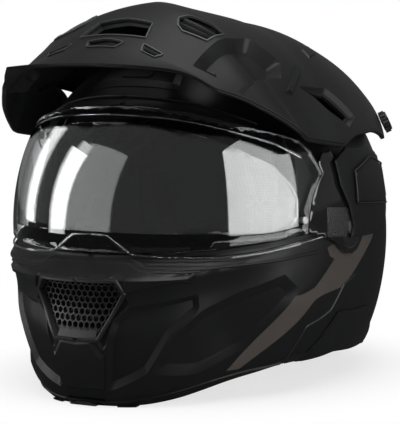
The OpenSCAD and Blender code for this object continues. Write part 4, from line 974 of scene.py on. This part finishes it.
# Rows from the front to the rear: angle and lift in the middle, then angle, radius and lift at the edge
PEAK_ROWS = [(40.9, 54, 40.6, 182, 59.5), (44.8, 50.2, 41.6, 173, 54), (47.4, 48, 41.9, 166, 50),
             (50.8, 45.5, 42, 159, 46), (52.7, 44.6, 42, 155.4, 44.5), (60.1, 41.6, 43.7, 141, 39.3),
             (64.5, 40, 44.6, 131, 36.5), (69.4, 38.9, 46, 115, 33), (74, 35, 47.8, 98, 29),
             (79, 29, 48.5, 90, 26.5), (84.5, 23, 58.5, 74, 21), (91, 18, 71, 63.5, 16.5),
             (99, 14.3, 84, 58.5, 14.3), (107, 14.3, 101, 64.5, 14.3), (115, 14.3, 118, 72.5, 14.3),
             (123, 14.3, 129, 82, 14.3), (130.5, 14.3, 139.5, 91, 14.3), (132, 14.3, 141, 92, 14.3),
             (141, 14.3, 145.5, 99, 12.3), (149, 12.3, 149, 118, 8.3)]
row_numbers = np.arange(len(PEAK_ROWS))


def peak_column(k, row):
    return smooth(list(zip(row_numbers, [r[k] for r in PEAK_ROWS])), row)


def peak_at(row, share, lift):
    """Point of the peak in a row, at a share of the way from its middle to its edge."""
    middle, middle_lift, edge, edge_r, edge_lift = (peak_column(k, row) for k in range(5))
    t = shell_form.turn_at(edge, edge_r, edge_lift) * share
    return shell_form.at(middle + (edge - middle) * share, t,
                         middle_lift + (edge_lift - middle_lift) * share**2 + lift)


# The peak is laid out flat by its length along the middle and its width from the middle to the edge
PEAK_LAST_ROW = len(PEAK_ROWS) - 1
ROW_COUNT = 721
SHARE_COUNT = 41
fine_rows = np.linspace(0, PEAK_LAST_ROW, ROW_COUNT)
fine_shares = np.tile(np.linspace(0, 1, SHARE_COUNT), ROW_COUNT)
peak_grid = peak_at(np.repeat(fine_rows, SHARE_COUNT), fine_shares, 0).reshape(ROW_COUNT, SHARE_COUNT, 3)
PEAK_LENGTH = np.concatenate([[0], np.cumsum(np.linalg.norm(np.diff(peak_grid[:, 0], axis=0), axis=1))])
PEAK_WIDTH = np.linalg.norm(np.diff(peak_grid, axis=1), axis=2).sum(1)


def peak_layout(row, share):
    along = np.interp(row, fine_rows, PEAK_LENGTH)
    return np.stack([share * np.interp(row, fine_rows, PEAK_WIDTH), along], -1)


def on_peak(points, lift):
    row = np.interp(points[:, 1], PEAK_LENGTH, fine_rows)
    share = points[:, 0] / np.interp(row, fine_rows, PEAK_WIDTH)
    return peak_at(row, np.clip(share, 0, 1), lift)


def peak_from_plan(spots):
    """Layout points of the places on the peak at these x and y, seen from above. The search starts at a
    place on a level peak."""
    stretch_x, stretch_y, level_y, level_along, tries, longest = 1.1, 1.2, -117, 40.0, 30, 8
    found = []
    for x, y in spots:
        here = np.array([x * stretch_x, level_along + (y - level_y) * stretch_y])
        for _ in range(tries):
            here = approach(here, lambda probe: on_peak(probe, np.zeros(3))[:, :2], (x, y), longest)
            here = np.maximum(0, here)
        found.append(here)
    return np.array(found)


# Windows in the ramp and between the shoulders, seen from above
MIDDLE_WINDOW = [(0, -88), (22, -90), (27, -106), (0, -107.5)]
FRONT_WINDOW = [(0, -113), (14, -114.5), (11, -120.5), (0, -121)]
SIDE_WINDOW = [(36, -77), (40, -70), (57, -66), (66, -69), (64, -86), (46, -88), (40, -84)]
FRONT_SLOT = [(31, -113), (47, -116), (44, -121), (33, -119)]
# Scoop in the shoulder with its triangular lip, the long slot towards the rear, and a raised boss and bar
SCOOP_PIXELS = [(192, 66), (248, 38), (280, 62), (281, 78), (243, 95)]
SCOOP_LIP_PIXELS = [(199, 67), (218, 65), (218, 77)]
REAR_SLOT_PIXELS = [(303, 88), (326, 93), (350, 115), (347, 120), (322, 101)]
SHOULDER_BOSS_PIXELS = [(301, 50), (307, 47), (315, 55), (309, 59)]
SHOULDER_BAR_PIXELS = [(295, 66), (301, 69), (292, 95), (285, 92)]

edge_rows = np.linspace(0, PEAK_LAST_ROW, 73)[1:]
windows = [peak_from_plan(window) for window in (MIDDLE_WINDOW, FRONT_WINDOW, SIDE_WINDOW, FRONT_SLOT)]
peak_border = np.concatenate([peak_layout(np.zeros(12), np.linspace(0, 1, 12)),
                              peak_layout(edge_rows, np.ones(len(edge_rows))),
                              peak_layout(np.full(8, float(PEAK_LAST_ROW)), np.linspace(1, 0, 9)[1:])])
# The windows on the middle plane are bays of the outline of this half
peak_outline = np.concatenate([peak_border, windows[0], windows[1]])
rear_slot = traced(on_peak, peak_border, REAR_SLOT_PIXELS)
# Each facet's outline, depth and width of its wall
PEAK_FACETS = ((traced(on_peak, peak_border, SCOOP_PIXELS), 9.0, 7.0),
               (traced(on_peak, peak_border, SCOOP_LIP_PIXELS), -4.5, 2.5),
               (grown(rear_slot, 4.5), 3.0, 2.5),
               (traced(on_peak, peak_border, SHOULDER_BAR_PIXELS), -2.2, 1.2),
               (traced(on_peak, peak_border, SHOULDER_BOSS_PIXELS), -1.2, 0.8))
peak = shell_mesh("peak_moulded", on_peak, peak_outline, PEAK_WALL, spacing=3.0,
                  holes=windows[2:] + [rear_slot], dents=[Dent(*facet) for facet in PEAK_FACETS])
peak_black = lacquer("grained black plastic", (0.0085, 0.0087, 0.0092), 0.42, grain=0.35, specular=0.22)
finish(peak, peak_black)
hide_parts("peak")
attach(peak, "helmet")

# Walls that hang from the windows' edges, and the rib along the front and the side edge
WINDOW_WALL = [(0.2, 0.8), (1.3, 0.8), (1.6, -5.5), (0.2, -5.5)]
# Painted light: the window walls and louvres take a lighter grey than the black peak, standing for the
# light that falls on them
painted_light_grey = lacquer("satin plastic painted light grey as lit", (0.045, 0.046, 0.048), 0.30, grain=0.3, specular=0.4)
for number, window in enumerate(windows):
    whole = number > 1
    wall = bead(f"window_wall_{number}", on_peak, fine(window, 1.5, whole),
                [(way_round(window) * across, lift) for across, lift in WINDOW_WALL], closed=whole)
    finish(wall, painted_light_grey)
    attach(wall, "helmet")
# The rib lies just inside the edges: on a row along the front, and on a share of the width along the side
RIB_SHARE = 0.992
RIB_FRONT_ROW = 0.06
RIB_LAST_ROW = 12
edge_line = peak_layout(np.linspace(0, RIB_LAST_ROW, 120), np.full(120, RIB_SHARE))
front_line = peak_layout(np.full(60, RIB_FRONT_ROW), np.linspace(0, RIB_SHARE, 60))
rib = bead("peak_rib", on_peak, np.concatenate([front_line, edge_line[1:]]), rounded(-0.6, -0.4, 2.0, 1.5))
finish(rib, peak_black)
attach(rib, "helmet")

# Louvres across the side windows, in the same painted light grey, and a grooved roller in each front slot
LOUVRES = [[(38, -82.5), (64, -82.5)], [(39, -76.5), (65, -76.5)]]
LOUVRE_PROFILE = [(-1.6, -0.5), (-1.2, 0.3), (1.0, -3.5), (1.8, -9.0), (0.6, -9.0)]
for number, ends in enumerate(LOUVRES):
    louvre = bead(f"louvre_{number}", on_peak, fine(peak_from_plan(ends), 2.0), LOUVRE_PROFILE)
    finish(louvre, painted_light_grey)
    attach(louvre, "helmet")


def lathe(name, outline, start, end, count=48):
    """Turned piece along the line from start to end, from its outline of (share of the line, radius)."""
    start, end = np.asarray(start, float), np.asarray(end, float)
    along = (end - start) / np.linalg.norm(end - start)
    first = np.cross(along, (0.3, 0.2, 1.0))
    first /= np.linalg.norm(first)
    second = np.cross(along, first)
    turns = np.linspace(0, 2 * pi, count, endpoint=False)
    ring = np.cos(turns)[:, None] * first + np.sin(turns)[:, None] * second
    points = np.concatenate([start + (end - start) * share + ring * r for share, r in outline])
    return new_piece(name, points, tube_faces(len(outline), count))


SIDES = (("right", MIRRORED), ("left", np.array([1, 1, 1])))
ROLLER_RINGS = 15
ROLLER_RADII = (2.3, 3.0)
ROLLER_ENDS = [(31, -115.5), (47, -118)]
roller_outline = [(k / ROLLER_RINGS, ROLLER_RADII[k % 2]) for k in range(ROLLER_RINGS + 1)]
for side, flip in SIDES:
    ends = on_peak(peak_from_plan(ROLLER_ENDS), -2.5) * flip
    roller = lathe(f"front_roller_{side}", roller_outline, *ends)
    finish(roller, peak_black)
    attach(roller, "helmet")


# Face shield: clear polycarbonate, curved like a drum about the hinge axis, with a stepped border. A gloss
# black arm at each end reaches back to the hinge, and an anti-fog insert sits behind the lens on two pins.
SHIELD_R = 141.5
SHIELD_HALF_W = 125.8
SHIELD_WALL = 2.2
SHIELD_TOP = [(40.25, 140.9), (40.35, 138.4), (40.6, 134), (41.4, 124), (43, 114), (46, 103), (50, 91),
              (55.5, 78), (57, 66)]
SHIELD_LOW = [(-2.65, 140.6), (-2.55, 137.6), (-2.4, 130), (-2, 110), (-1.5, 95), (-1, 80), (0, 65)]
LENS_MIDDLE_ANGLES = (40.2, -2.7)
LENS_END_R = 50
LENS_END_TURNS = np.linspace(1, 54, 14)
# The arm's outline runs round the hinge at this radius, and then along the lens's end
ARM_END_R = 19
ARM_EDGE = [(58, 57.5), (66, 60), (74, 58), (78, 46), (81, 30), (92, 20),
            *[(angle, ARM_END_R) for angle in range(115, 315, 25)],
            (315, 19.5), (338, 22), (352, 30), (359, 44), (361.5, 49)]
ARM_LENS_TURNS = np.arange(366, 415, 6)
ARM_LENS_OVERLAP = 0.8
ARM_TIP = (416.5, 56)
ARM_RING_R = 14.4
LENS_RIB_PIXELS = [(96, 234.5), (106, 235.5), (123, 249), (131, 255), (165, 258), (225, 258), (262, 253),
                   (300, 244), (340, 231)]
INSERT_EDGE = [(3, 74), (6, 62), (12, 58), (24, 60), (31, 68), (35, 84)]
INSERT_R = 138.7
INSERT_WALL = 1.0
PIN_PLACE = (11, 54)
PIN_LIFTS = np.array([-5.0, 0.25])
PIN_OUTLINE = [(0, 2.2), (0.55, 2.2), (0.6, 1.4), (0.8, 1.4), (0.82, 2.6), (0.95, 2.6), (1, 1.9)]

shield_form = Form([(-90, SHIELD_R), (270, SHIELD_R)], SHIELD_HALF_W)


def clear_plastic(name, tint, haze_level):
    """Clear plastic with a slight haze in soft patches."""
    nodes, material, place = new_material(name)
    roughness = nodes.noise(place, 9.0, Detail=2.0) * haze_level + 0.004
    nodes.end(nodes.skin(Base_Color=tint, Transmission_Weight=1.0, IOR=1.5, Roughness=roughness))
    return material


lens_outline = np.concatenate([
    shield_form.middle(*LENS_MIDDLE_ANGLES),
    shield_form.disc(*columns(SHIELD_LOW)),
    shield_form.disc(LENS_END_TURNS, LENS_END_R),
    shield_form.disc(*columns(SHIELD_TOP[::-1]))])
lens = shell_mesh("face_shield_clear", shield_form.on, lens_outline, SHIELD_WALL, spacing=4.5)
clear = clear_plastic("clear polycarbonate", (0.96, 0.97, 0.975), 0.02)
finish(lens, clear)
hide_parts("face_shield")
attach(lens, "face_shield")

# The lens's border: a clear rib along the foot, which steps up over the nose, and one inside the top edge
TOP_RIB_ANGLE = 37.4
TOP_RIB = [(37.6, 139), (38.2, 132), (39.4, 120), (41.6, 106), (45, 90), (49.5, 70)]
rib_line = from_middle(shield_form, traced(shield_form.on, lens_outline, LENS_RIB_PIXELS))
top_line = middle_and(shield_form, TOP_RIB_ANGLE, TOP_RIB)
for name, line, profile in (("lens_foot_rib", rib_line, rounded(0, -0.3, 1.8, 1.1)),
                            ("lens_top_rib", top_line, rounded(0, 0.3 - SHIELD_WALL, 1.6, -1.1))):
    strip = bead(name, shield_form.on, fine(line, 4.0), profile)
    finish(strip, clear)
    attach(strip, "face_shield")
# Behind the foot rib runs a dark seal, whose halves end just off the middle plane
SEAL_GAP = 0.01
SEAL_PROFILE = [(-1.4, -2.5), (1.6, -2.5), (1.6, -3.0), (-1.4, -3.0)]
seal_path = fine(rib_line - unit(rib_line) * SEAL_GAP, 4.0)
foot_seal = bead("lens_foot_seal", shield_form.on, seal_path, SEAL_PROFILE)
gloss_black = lacquer("gloss black", (0.006, 0.006, 0.0065), 0.10, coat=0.6, specular=0.5)
finish(foot_seal, gloss_black)
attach(foot_seal, "face_shield")

arm_outline = np.concatenate([
    shield_form.disc(*columns(ARM_EDGE)),
    shield_form.disc(ARM_LENS_TURNS, LENS_END_R - ARM_LENS_OVERLAP),
    shield_form.disc(*ARM_TIP)])
arm = shell_mesh("shield_arms_gloss", shield_form.on, arm_outline, SHIELD_WALL, spacing=2.5,
                 holes=[shield_form.disc(np.arange(0, 360, 12), ARM_RING_R)])
finish(arm, gloss_black)
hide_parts("shield_arm_left", "shield_arm_right")
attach(arm, "face_shield")

# Grained pad on the outside of the arm, in front of the hinge
ARM_PAD_PIXELS = [(327, 208), (349, 208), (351, 222), (346, 236), (328, 236)]


def knurled(name, colour):
    """Plastic with a coarse grain of small dimples: painted shade darkens the dimples and a painted
    highlight makes the ridges between them paler.
    """
    nodes, material, place = new_material(name)
    cells = nodes.field(nodes.add("ShaderNodeTexVoronoi", {"Vector": place, "Scale": 700.0}), "Distance")
    # Painted shade and highlight: the colour follows the dimples' depth, dark in their hollows and pale on
    # the ridges
    tint = nodes.tint(cells, shaded(colour, 0.6), shaded(colour, 1.6))
    nodes.end(nodes.skin(Base_Color=tint, Normal=nodes.bump(cells, 0.8, 0.0006),
                         Roughness=nodes.noise(place, 60.0) * 0.15 + 0.35))
    return material


pad = shell_mesh("shield_arm_pads", lambda points, lift: shield_form.on(points, lift + 0.3),
                 traced(shield_form.on, grown(arm_outline, 6), ARM_PAD_PIXELS), 0.8, spacing=2.0)
finish(pad, knurled("knurled plastic with painted shade", (0.012, 0.012, 0.013)))
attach(pad, "face_shield")

insert_form = Form([(-90, INSERT_R), (270, INSERT_R)], SHIELD_HALF_W - (SHIELD_R - INSERT_R))
insert_outline = np.concatenate([insert_form.middle(INSERT_EDGE[-1][0], INSERT_EDGE[0][0]),
                                 insert_form.disc(*columns(INSERT_EDGE))])
insert = shell_mesh("antifog_insert_clear", insert_form.on, insert_outline, INSERT_WALL, spacing=5.0)
finish(insert, clear_plastic("clear insert", (0.93, 0.94, 0.93), 0.05))
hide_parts("antifog_insert")
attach(insert, "face_shield")
SEAL_INSET = 1.2
seal_line = grown(insert_outline, -SEAL_INSET)[-len(INSERT_EDGE):]
seal = bead("antifog_insert_seal", insert_form.on, fine(seal_line, 3.0), rounded(0, 0.0, 1.6, 0.7))
finish(seal, clear_plastic("silicone seal", (0.80, 0.82, 0.82), 0.3))
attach(seal, "face_shield")

pale = lacquer("pale plastic", (0.45, 0.46, 0.47), 0.25, specular=0.5)
pin_spot = shield_form.disc(*PIN_PLACE)
for side, flip in SIDES:
    ends = shield_form.on(np.repeat(pin_spot, 2, 0), PIN_LIFTS) * flip
    pin = lathe(f"antifog_pin_{side}", PIN_OUTLINE, *ends, count=32)
    finish(pin, pale)
    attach(pin, "face_shield")
    if side == "left":
        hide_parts("antifog_pins")


# Side covers: black plates over the hinges, six-sided, with a raised face. Each is fixed to the end of the
# hinge pin, and the arm of the face shield passes under it.
COVER_R = 145.1
COVER_HALF_W = 128.4
COVER_WALL = 1.8
COVER_EDGE = [(-4, -7), (0, 0), (-5, 16), (-14, 31), (-16, 48), (2, 56), (36, 52), (66, 42), (96, 32),
              (96, 12), (84, -2), (50, -8)]
COVER_FACE = [(3, 17), (4, 39), (33, 47), (80, 33), (80, 14), (62, 11)]
# Behind the hinge the cover falls from its own form to just above the shell
COVER_FALL = [(54, 0), (78, 1)]
COVER_CLEARANCE = 2.2


def over_ear(form_radii, half_w, y, z, lift):
    """Distance from the middle plane of a form's point at y and z from the hinge."""
    r = np.hypot(y, z)
    reach = smooth(form_radii, wrapped(np.degrees(np.arctan2(z, -y)))) + lift
    return (half_w + lift) * (1 - np.minimum(1, r / reach) ** ROUNDNESS) ** (1 / ROUNDNESS)


def on_cover(points, lift):
    y, z = points[:, 0], points[:, 1]
    fall = smooth(COVER_FALL, y)
    x = (over_ear([(-90, COVER_R), (270, COVER_R)], COVER_HALF_W, y, z, lift) * (1 - fall)
         + over_ear(SHELL_RADII, SHELL_HALF_W + COVER_CLEARANCE, y, z, lift) * fall)
    return np.stack([x, HINGE_Y + y, HINGE_Z + z], -1)


COVER_FACE_DEPTH = -1.8
COVER_FACE_SLOPE = 1.3
cover = shell_mesh("side_covers", on_cover, COVER_EDGE, COVER_WALL, spacing=2.5,
                   dents=[Dent(COVER_FACE, COVER_FACE_DEPTH, COVER_FACE_SLOPE)])
finish(cover, matte_black)
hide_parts("pivot_cap_left", "pivot_cap_right")
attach(cover, "helmet")

cover_rim = bead("side_cover_ridges", on_cover, fine(COVER_FACE, 2.0, True), rounded(0, 1.2, 1.3, 1.2),
                 closed=True)
finish(cover_rim, moulded)
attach(cover_rim, "helmet")

# Intercom covers: plates behind the chin bar's lower end, clipped over the intercom's place in the shell
INTERCOM_PIXELS = [(337, 312), (366, 305.5), (369, 337), (332, 350), (298, 360)]
INTERCOM_LIFT = 1.3
INTERCOM_WALL = 1.2
intercom = shell_mesh("intercom_covers", lambda points, lift: shell_form.on(points, lift + INTERCOM_LIFT),
                      traced(shell_form.on, shell_outline, INTERCOM_PIXELS), INTERCOM_WALL, spacing=2.5)
finish(intercom, matte_black)
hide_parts("intercom_cover_left", "intercom_cover_right")
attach(intercom, "helmet")


# Rubber trim: the gasket round the eye port, the lip over the visor, the seal on the chin bar's top edge,
# and the U-shaped strip over the shell's lower rim. Each is pushed or glued on to the edge that it follows.
EYE_PROFILE = [(-4.0, 0.1), (-3.6, 1.0), (0.6, 1.2), (3.2, 0.9), (4.2, -1.2), (3.6, -4.2), (0.4, -4.6),
               (-4.0, -4.6)]
FOOT_PROFILE = [(-3.4, 0.1), (-3.2, 0.9), (0.6, 1.1), (1.8, 0.4), (2.1, -1.6), (1.8, -3.6), (0.6, -4.4),
                (-3.4, -4.4)]
CHIN_SEAL_PROFILE = [(-2.2, 0.2), (-2.0, 1.0), (0.4, 1.1), (1.0, 0.2), (0.9, -2.6), (0.3, -3.0)]
BROW_LIP_ANGLE = 46.5
BROW_LIP = [(46.6, 131), (46.8, 128), (47.4, 121), (48.6, 110), (51, 98)]
FOOT_TURNS = (64, 180)
# The gasket ends where the chin bar begins, and the chin bar's seal ends before the hinge rings
EYE_GASKET_END_ANGLE = 10
CHIN_SEAL_END_R = 72
eye_rows = [(angle, r) for angle, r in EYE_EDGE if angle > EYE_GASKET_END_ANGLE]
seal_rows = [(angle, r) for angle, r in CHIN_TOP if r > CHIN_SEAL_END_R]
eye_line = fine(middle_and(shell_form, BROW_ANGLE, eye_rows), 3.0)
brow_line = fine(middle_and(shell_form, BROW_LIP_ANGLE, BROW_LIP), 3.0)
foot_line = shell_form.rim(*FOOT_TURNS, 120)
chin_seal_line = fine(middle_and(chin_form, CHIN_TOP_ANGLE, seal_rows), 3.0)

# Each trim's name, form, outline, line, profile, node and body
TRIMS = (("eyeport_rubber", shell_form, shell_outline, eye_line, EYE_PROFILE, "eyeport_gasket", "helmet"),
         ("brow_lip", shell_form, shell_outline, brow_line, rounded(0, 0.4, 2.6, 1.8), None, "helmet"),
         ("base_rubber", shell_form, shell_outline, foot_line, FOOT_PROFILE, "base_trim", "helmet"),
         ("shield_seal_rubber", chin_form, chin_outline, chin_seal_line, CHIN_SEAL_PROFILE, "shield_seal",
          "chin_bar"))
for name, form, outline, line, profile, node, body in TRIMS:
    strip = edged(name, form.on, outline, line, profile)
    finish(strip, rubber)
    if node:
        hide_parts(node)
    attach(strip, body)


# Comfort lining: crown pad, cheek pads and neck roll in black brushed cloth over soft foam, snapped into
# the shock liner. Each swells out of its foam block under the cloth and is drawn in along sewn channels.
LINING_VOXEL = 0.005
LINING_PRESSURE = 4.0
LINING_FRAMES = 20
LINING_SWELL = 0.0035
CHANNEL_HALF_W = 0.005
CHANNEL_DEPTH = 0.0022
CHANNEL_STEEPNESS = 2.5
CLOTH_COLOUR = (0.009, 0.009, 0.0098)


def cloth(name, colour, thread):
    """Knitted or woven cloth: fine crossed threads as a bump, painted shade in the gaps between the threads
    with painted light on them, and a slightly worn tone.
    """
    nodes, material, place = new_material(name)
    threads = {"Vector": place, "Scale": 0.16 / thread, "Distortion": 0.4}
    warp, weft = (nodes.field(nodes.add("ShaderNodeTexWave", threads, bands_direction=way)) for way in "XZ")
    worn = nodes.noise(place, 35.0, Detail=3.0)
    weave = warp * weft
    # Half of the tone follows the threads' bump, as painted shade between them and painted light on them;
    # the other half is random wear
    tint = nodes.tint(weave * 0.5 + worn * 0.5, shaded(colour, 0.7), shaded(colour, 1.5))
    nodes.end(nodes.skin(Base_Color=tint, Normal=nodes.bump(weave, 0.6, thread * 0.5),
                         Roughness=worn * 0.2 + 0.75, Specular_IOR_Level=0.15))
    return material


def positions(piece):
    spots = np.empty(len(piece.data.vertices) * 3)
    piece.data.vertices.foreach_get("co", spots)
    return spots.reshape(-1, 3)


def set_positions(piece, spots):
    piece.data.vertices.foreach_set("co", np.ascontiguousarray(spots).ravel())
    piece.data.update()


def apply_all(piece):
    select_only(piece)
    for modifier in list(piece.modifiers):
        bpy.ops.object.modifier_apply(modifier=modifier.name)


def copied(node, name):
    piece = bpy.data.objects.new(name, bpy.data.objects[node].data.copy())
    bpy.context.collection.objects.link(piece)
    piece.matrix_world = bpy.data.objects[node].matrix_world
    piece.data.transform(piece.matrix_world)
    piece.matrix_world = Matrix.Identity(4)
    return piece


def swollen(node, name, channels):
    """Padded form: the block's own shape, swollen as cloth under pressure and drawn in along its channels,
    which are planes of (point, normal)."""
    piece = copied(node, name)
    remesh = piece.modifiers.new("even mesh", "REMESH")
    remesh.mode = "VOXEL"
    remesh.voxel_size = LINING_VOXEL
    apply_all(piece)
    before = positions(piece)
    fabric = piece.modifiers.new("cloth", "CLOTH")
    fabric.settings.use_pressure = True
    fabric.settings.uniform_pressure_force = LINING_PRESSURE
    fabric.settings.effector_weights.gravity = 0
    fabric.point_cache.frame_start = 1
    fabric.point_cache.frame_end = LINING_FRAMES
    for moment in range(1, LINING_FRAMES + 1):
        bpy.context.scene.frame_set(moment)
    apply_all(piece)
    bpy.context.scene.frame_set(1)
    moved = positions(piece) - before
    length = np.linalg.norm(moved, axis=1)[:, None]
    set_positions(piece, before + moved * np.minimum(1, LINING_SWELL / np.maximum(length, 1e-9)))
    finer = piece.modifiers.new("finer", "SUBSURF")
    finer.levels = 1
    apply_all(piece)
    spots = positions(piece)
    normals = np.empty(len(spots) * 3)
    piece.data.vertices.foreach_get("normal", normals)
    normals = normals.reshape(-1, 3)
    for point, across in channels:
        across = np.array(across) / np.linalg.norm(across)
        off = np.abs((spots - np.array(point)) @ across) / CHANNEL_HALF_W
        spots = spots - normals * (CHANNEL_DEPTH * np.exp(-off**2 * CHANNEL_STEEPNESS))[:, None]
    set_positions(piece, spots)
    for polygon in piece.data.polygons:
        polygon.use_smooth = True
    return piece


lining_cloth = cloth("brushed lining cloth", CLOTH_COLOUR, 0.0011)
CROWN_CHANNEL_TURNS = (105, 140)
SIDE_CHANNEL_X = 0.028
crown_channels = [((0, HINGE_Y / 1000, HINGE_Z / 1000), (0, sin(radians(turn)), cos(radians(turn))))
                  for turn in CROWN_CHANNEL_TURNS]
side_channels = [((x, 0, 0), (1, 0, 0)) for x in (-SIDE_CHANNEL_X, SIDE_CHANNEL_X)]
cheek_channels = [((0, -0.02, 0.06), (0, 1, 0.5))]
CUSHIONS = {"crown_pad": crown_channels + side_channels, "cheek_pad_left": cheek_channels,
            "cheek_pad_right": cheek_channels, "neck_roll": [((0, 0, 0.024), (0, 0.2, 1))]}
for node, channels in CUSHIONS.items():
    cushion = swollen(node, f"{node}_cloth", channels)
    finish(cushion, lining_cloth)
    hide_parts(node)
    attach(cushion, "helmet")

# Chin curtain: a single cloth under the chin, pushed into the chin bar's rim, all in the lining cloth; its
# rubbered face is not drawn
CURTAIN_WAVE = 0.0009
CURTAIN_WAVES_PER_RADIAN = 22
curtain = copied("chin_curtain", "chin_curtain_cloth")
select_only(curtain)
bpy.ops.object.mode_set(mode="EDIT")
bpy.ops.mesh.select_all(action="SELECT")
bpy.ops.mesh.remove_doubles(threshold=1e-5)
bpy.ops.mesh.subdivide(number_cuts=3)
bpy.ops.mesh.vertices_smooth(factor=0.5, repeat=4)
bpy.ops.object.mode_set(mode="OBJECT")
spots = positions(curtain)
spots[:, 2] += CURTAIN_WAVE * np.sin(np.arctan2(spots[:, 0], -spots[:, 1]) * CURTAIN_WAVES_PER_RADIAN)
set_positions(curtain, spots)
bpy.ops.object.shade_smooth_by_angle(angle=radians(CREASE))
finish(curtain, lining_cloth)
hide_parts("chin_curtain")
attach(curtain, "chin_bar")

# Chin strap: woven webbing from the rivet on each side to the ratchet buckle
STRAP_Y = 20.0
STRAP_W = 22.0
STRAP_THICK = 1.9
STRAP_EDGE = 0.9
STRAP_LONG = [(97.5, 37), (97.5, 27), (91, 22), (80, 17), (62, 13), (38, 11)]
STRAP_SHORT = STRAP_LONG[:5]


def webbing_band(name, line, side):
    """Flat band with rounded edges along a line of (x, z), whose corners are cut three times, and its
    length."""
    line = np.array(line, float)
    for _ in range(3):
        cuts = [line[:-1] * (1 - share) + line[1:] * share for share in (0.25, 0.75)]
        line = np.concatenate([line[:1], np.stack(cuts, 1).reshape(-1, 2), line[-1:]])
    ahead = unit(np.gradient(line, axis=0))
    out = np.stack([-ahead[:, 1], ahead[:, 0]], -1)
    half = STRAP_THICK / 2
    section = [(STRAP_EDGE, -half), (STRAP_W / 2, -half), (STRAP_W - STRAP_EDGE, -half), (STRAP_W, 0),
               (STRAP_W - STRAP_EDGE, half), (STRAP_W / 2, half), (STRAP_EDGE, half), (0, 0)]
    points = []
    for (x, z), (ox, oz) in zip(line, out):
        points += [(side * (x + ox * rise), STRAP_Y + y, z + oz * rise) for y, rise in section]
    length = np.sum(np.linalg.norm(np.diff(line, axis=0), axis=1)) / 1000
    return new_piece(name, points, tube_faces(len(line), len(section))), length


webbing = cloth("woven webbing", (0.009, 0.009, 0.0095), 0.0018)
for node, line, side in (("strap_left", STRAP_LONG, 1), ("strap_right", STRAP_SHORT, -1)):
    strap, length = webbing_band(f"{node}_webbing", line, side)
    finish(strap, webbing)
    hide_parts(node)
    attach(strap, "helmet")


# Shock liner, fittings and metal parts keep their solids' shapes, in the materials that they're made of:
# expanded foam, rubber, moulded plastic, zinc-plated steel and dark tinted visor plastic.
def foam(name, colour):
    """Expanded foam: pressed beads with thin grooves between them."""
    nodes, material, place = new_material(name)
    gaps = nodes.field(nodes.add("ShaderNodeTexVoronoi", {"Vector": place, "Scale": 330.0},
                                 feature="DISTANCE_TO_EDGE"))
    worn = nodes.noise(place, 25.0)
    nodes.end(nodes.skin(Base_Color=nodes.tint(worn, shaded(colour, 0.8), shaded(colour, 1.3)),
                         Normal=nodes.bump(gaps.between(0.0, 0.12), 0.5, 0.0004),
                         Roughness=worn * 0.1 + 0.75, Specular_IOR_Level=0.25))
    return material


def metal(name, colour, roughness):
    """Plated steel with fine scratches along one way and slightly varied gloss."""
    nodes, material, place = new_material(name)
    stretched = nodes.add("ShaderNodeMapping", {"Vector": place, "Scale": (1, 12, 1)}).outputs[0]
    scratch = nodes.noise(stretched, 180.0)
    tint = nodes.tint(nodes.noise(place, 40.0), shaded(colour, 0.8), shaded(colour, 1.15))
    nodes.end(nodes.skin(Base_Color=tint, Normal=nodes.bump(scratch, 0.2, 0.0001),
                         Roughness=scratch * 0.15 + roughness, Metallic=1.0))
    return material


black_foam = foam("black expanded foam", (0.008, 0.008, 0.0085))
steel = metal("zinc-plated steel", (0.52, 0.52, 0.53), 0.28)
dark_tint = clear_plastic("smoke tint", (0.10, 0.10, 0.11), 0.02)
red_plastic = lacquer("red plastic", (0.30, 0.012, 0.010), 0.32, specular=0.45)
FITTINGS = (
    (black_foam, ("shock_liner", "chin_liner")),
    (rubber, ("breath_deflector", "rest_pads_rear", "rest_pads_front")),
    (moulded, ("peak_screws", "brow_vent_frame", "brow_vent_slider", "rear_vent_cover", "chin_vent_shutter",
               "release_button", "shield_ring_left", "shield_ring_right", "sun_hub_left", "sun_hub_right",
               "sun_lever", "buckle_body")),
    (steel, ("pivot_shaft_left", "pivot_shaft_right", "strap_rivets", "latch_bracket_left",
             "latch_bracket_right", "latch_hook_left", "latch_hook_right", "chin_hinge_ring_left",
             "chin_hinge_ring_right")),
    (dark_tint, ("sun_visor",)),
    (red_plastic, ("buckle_lever",)))
for material, fitted in FITTINGS:
    for node in fitted:
        finish(bpy.data.objects[node], material)
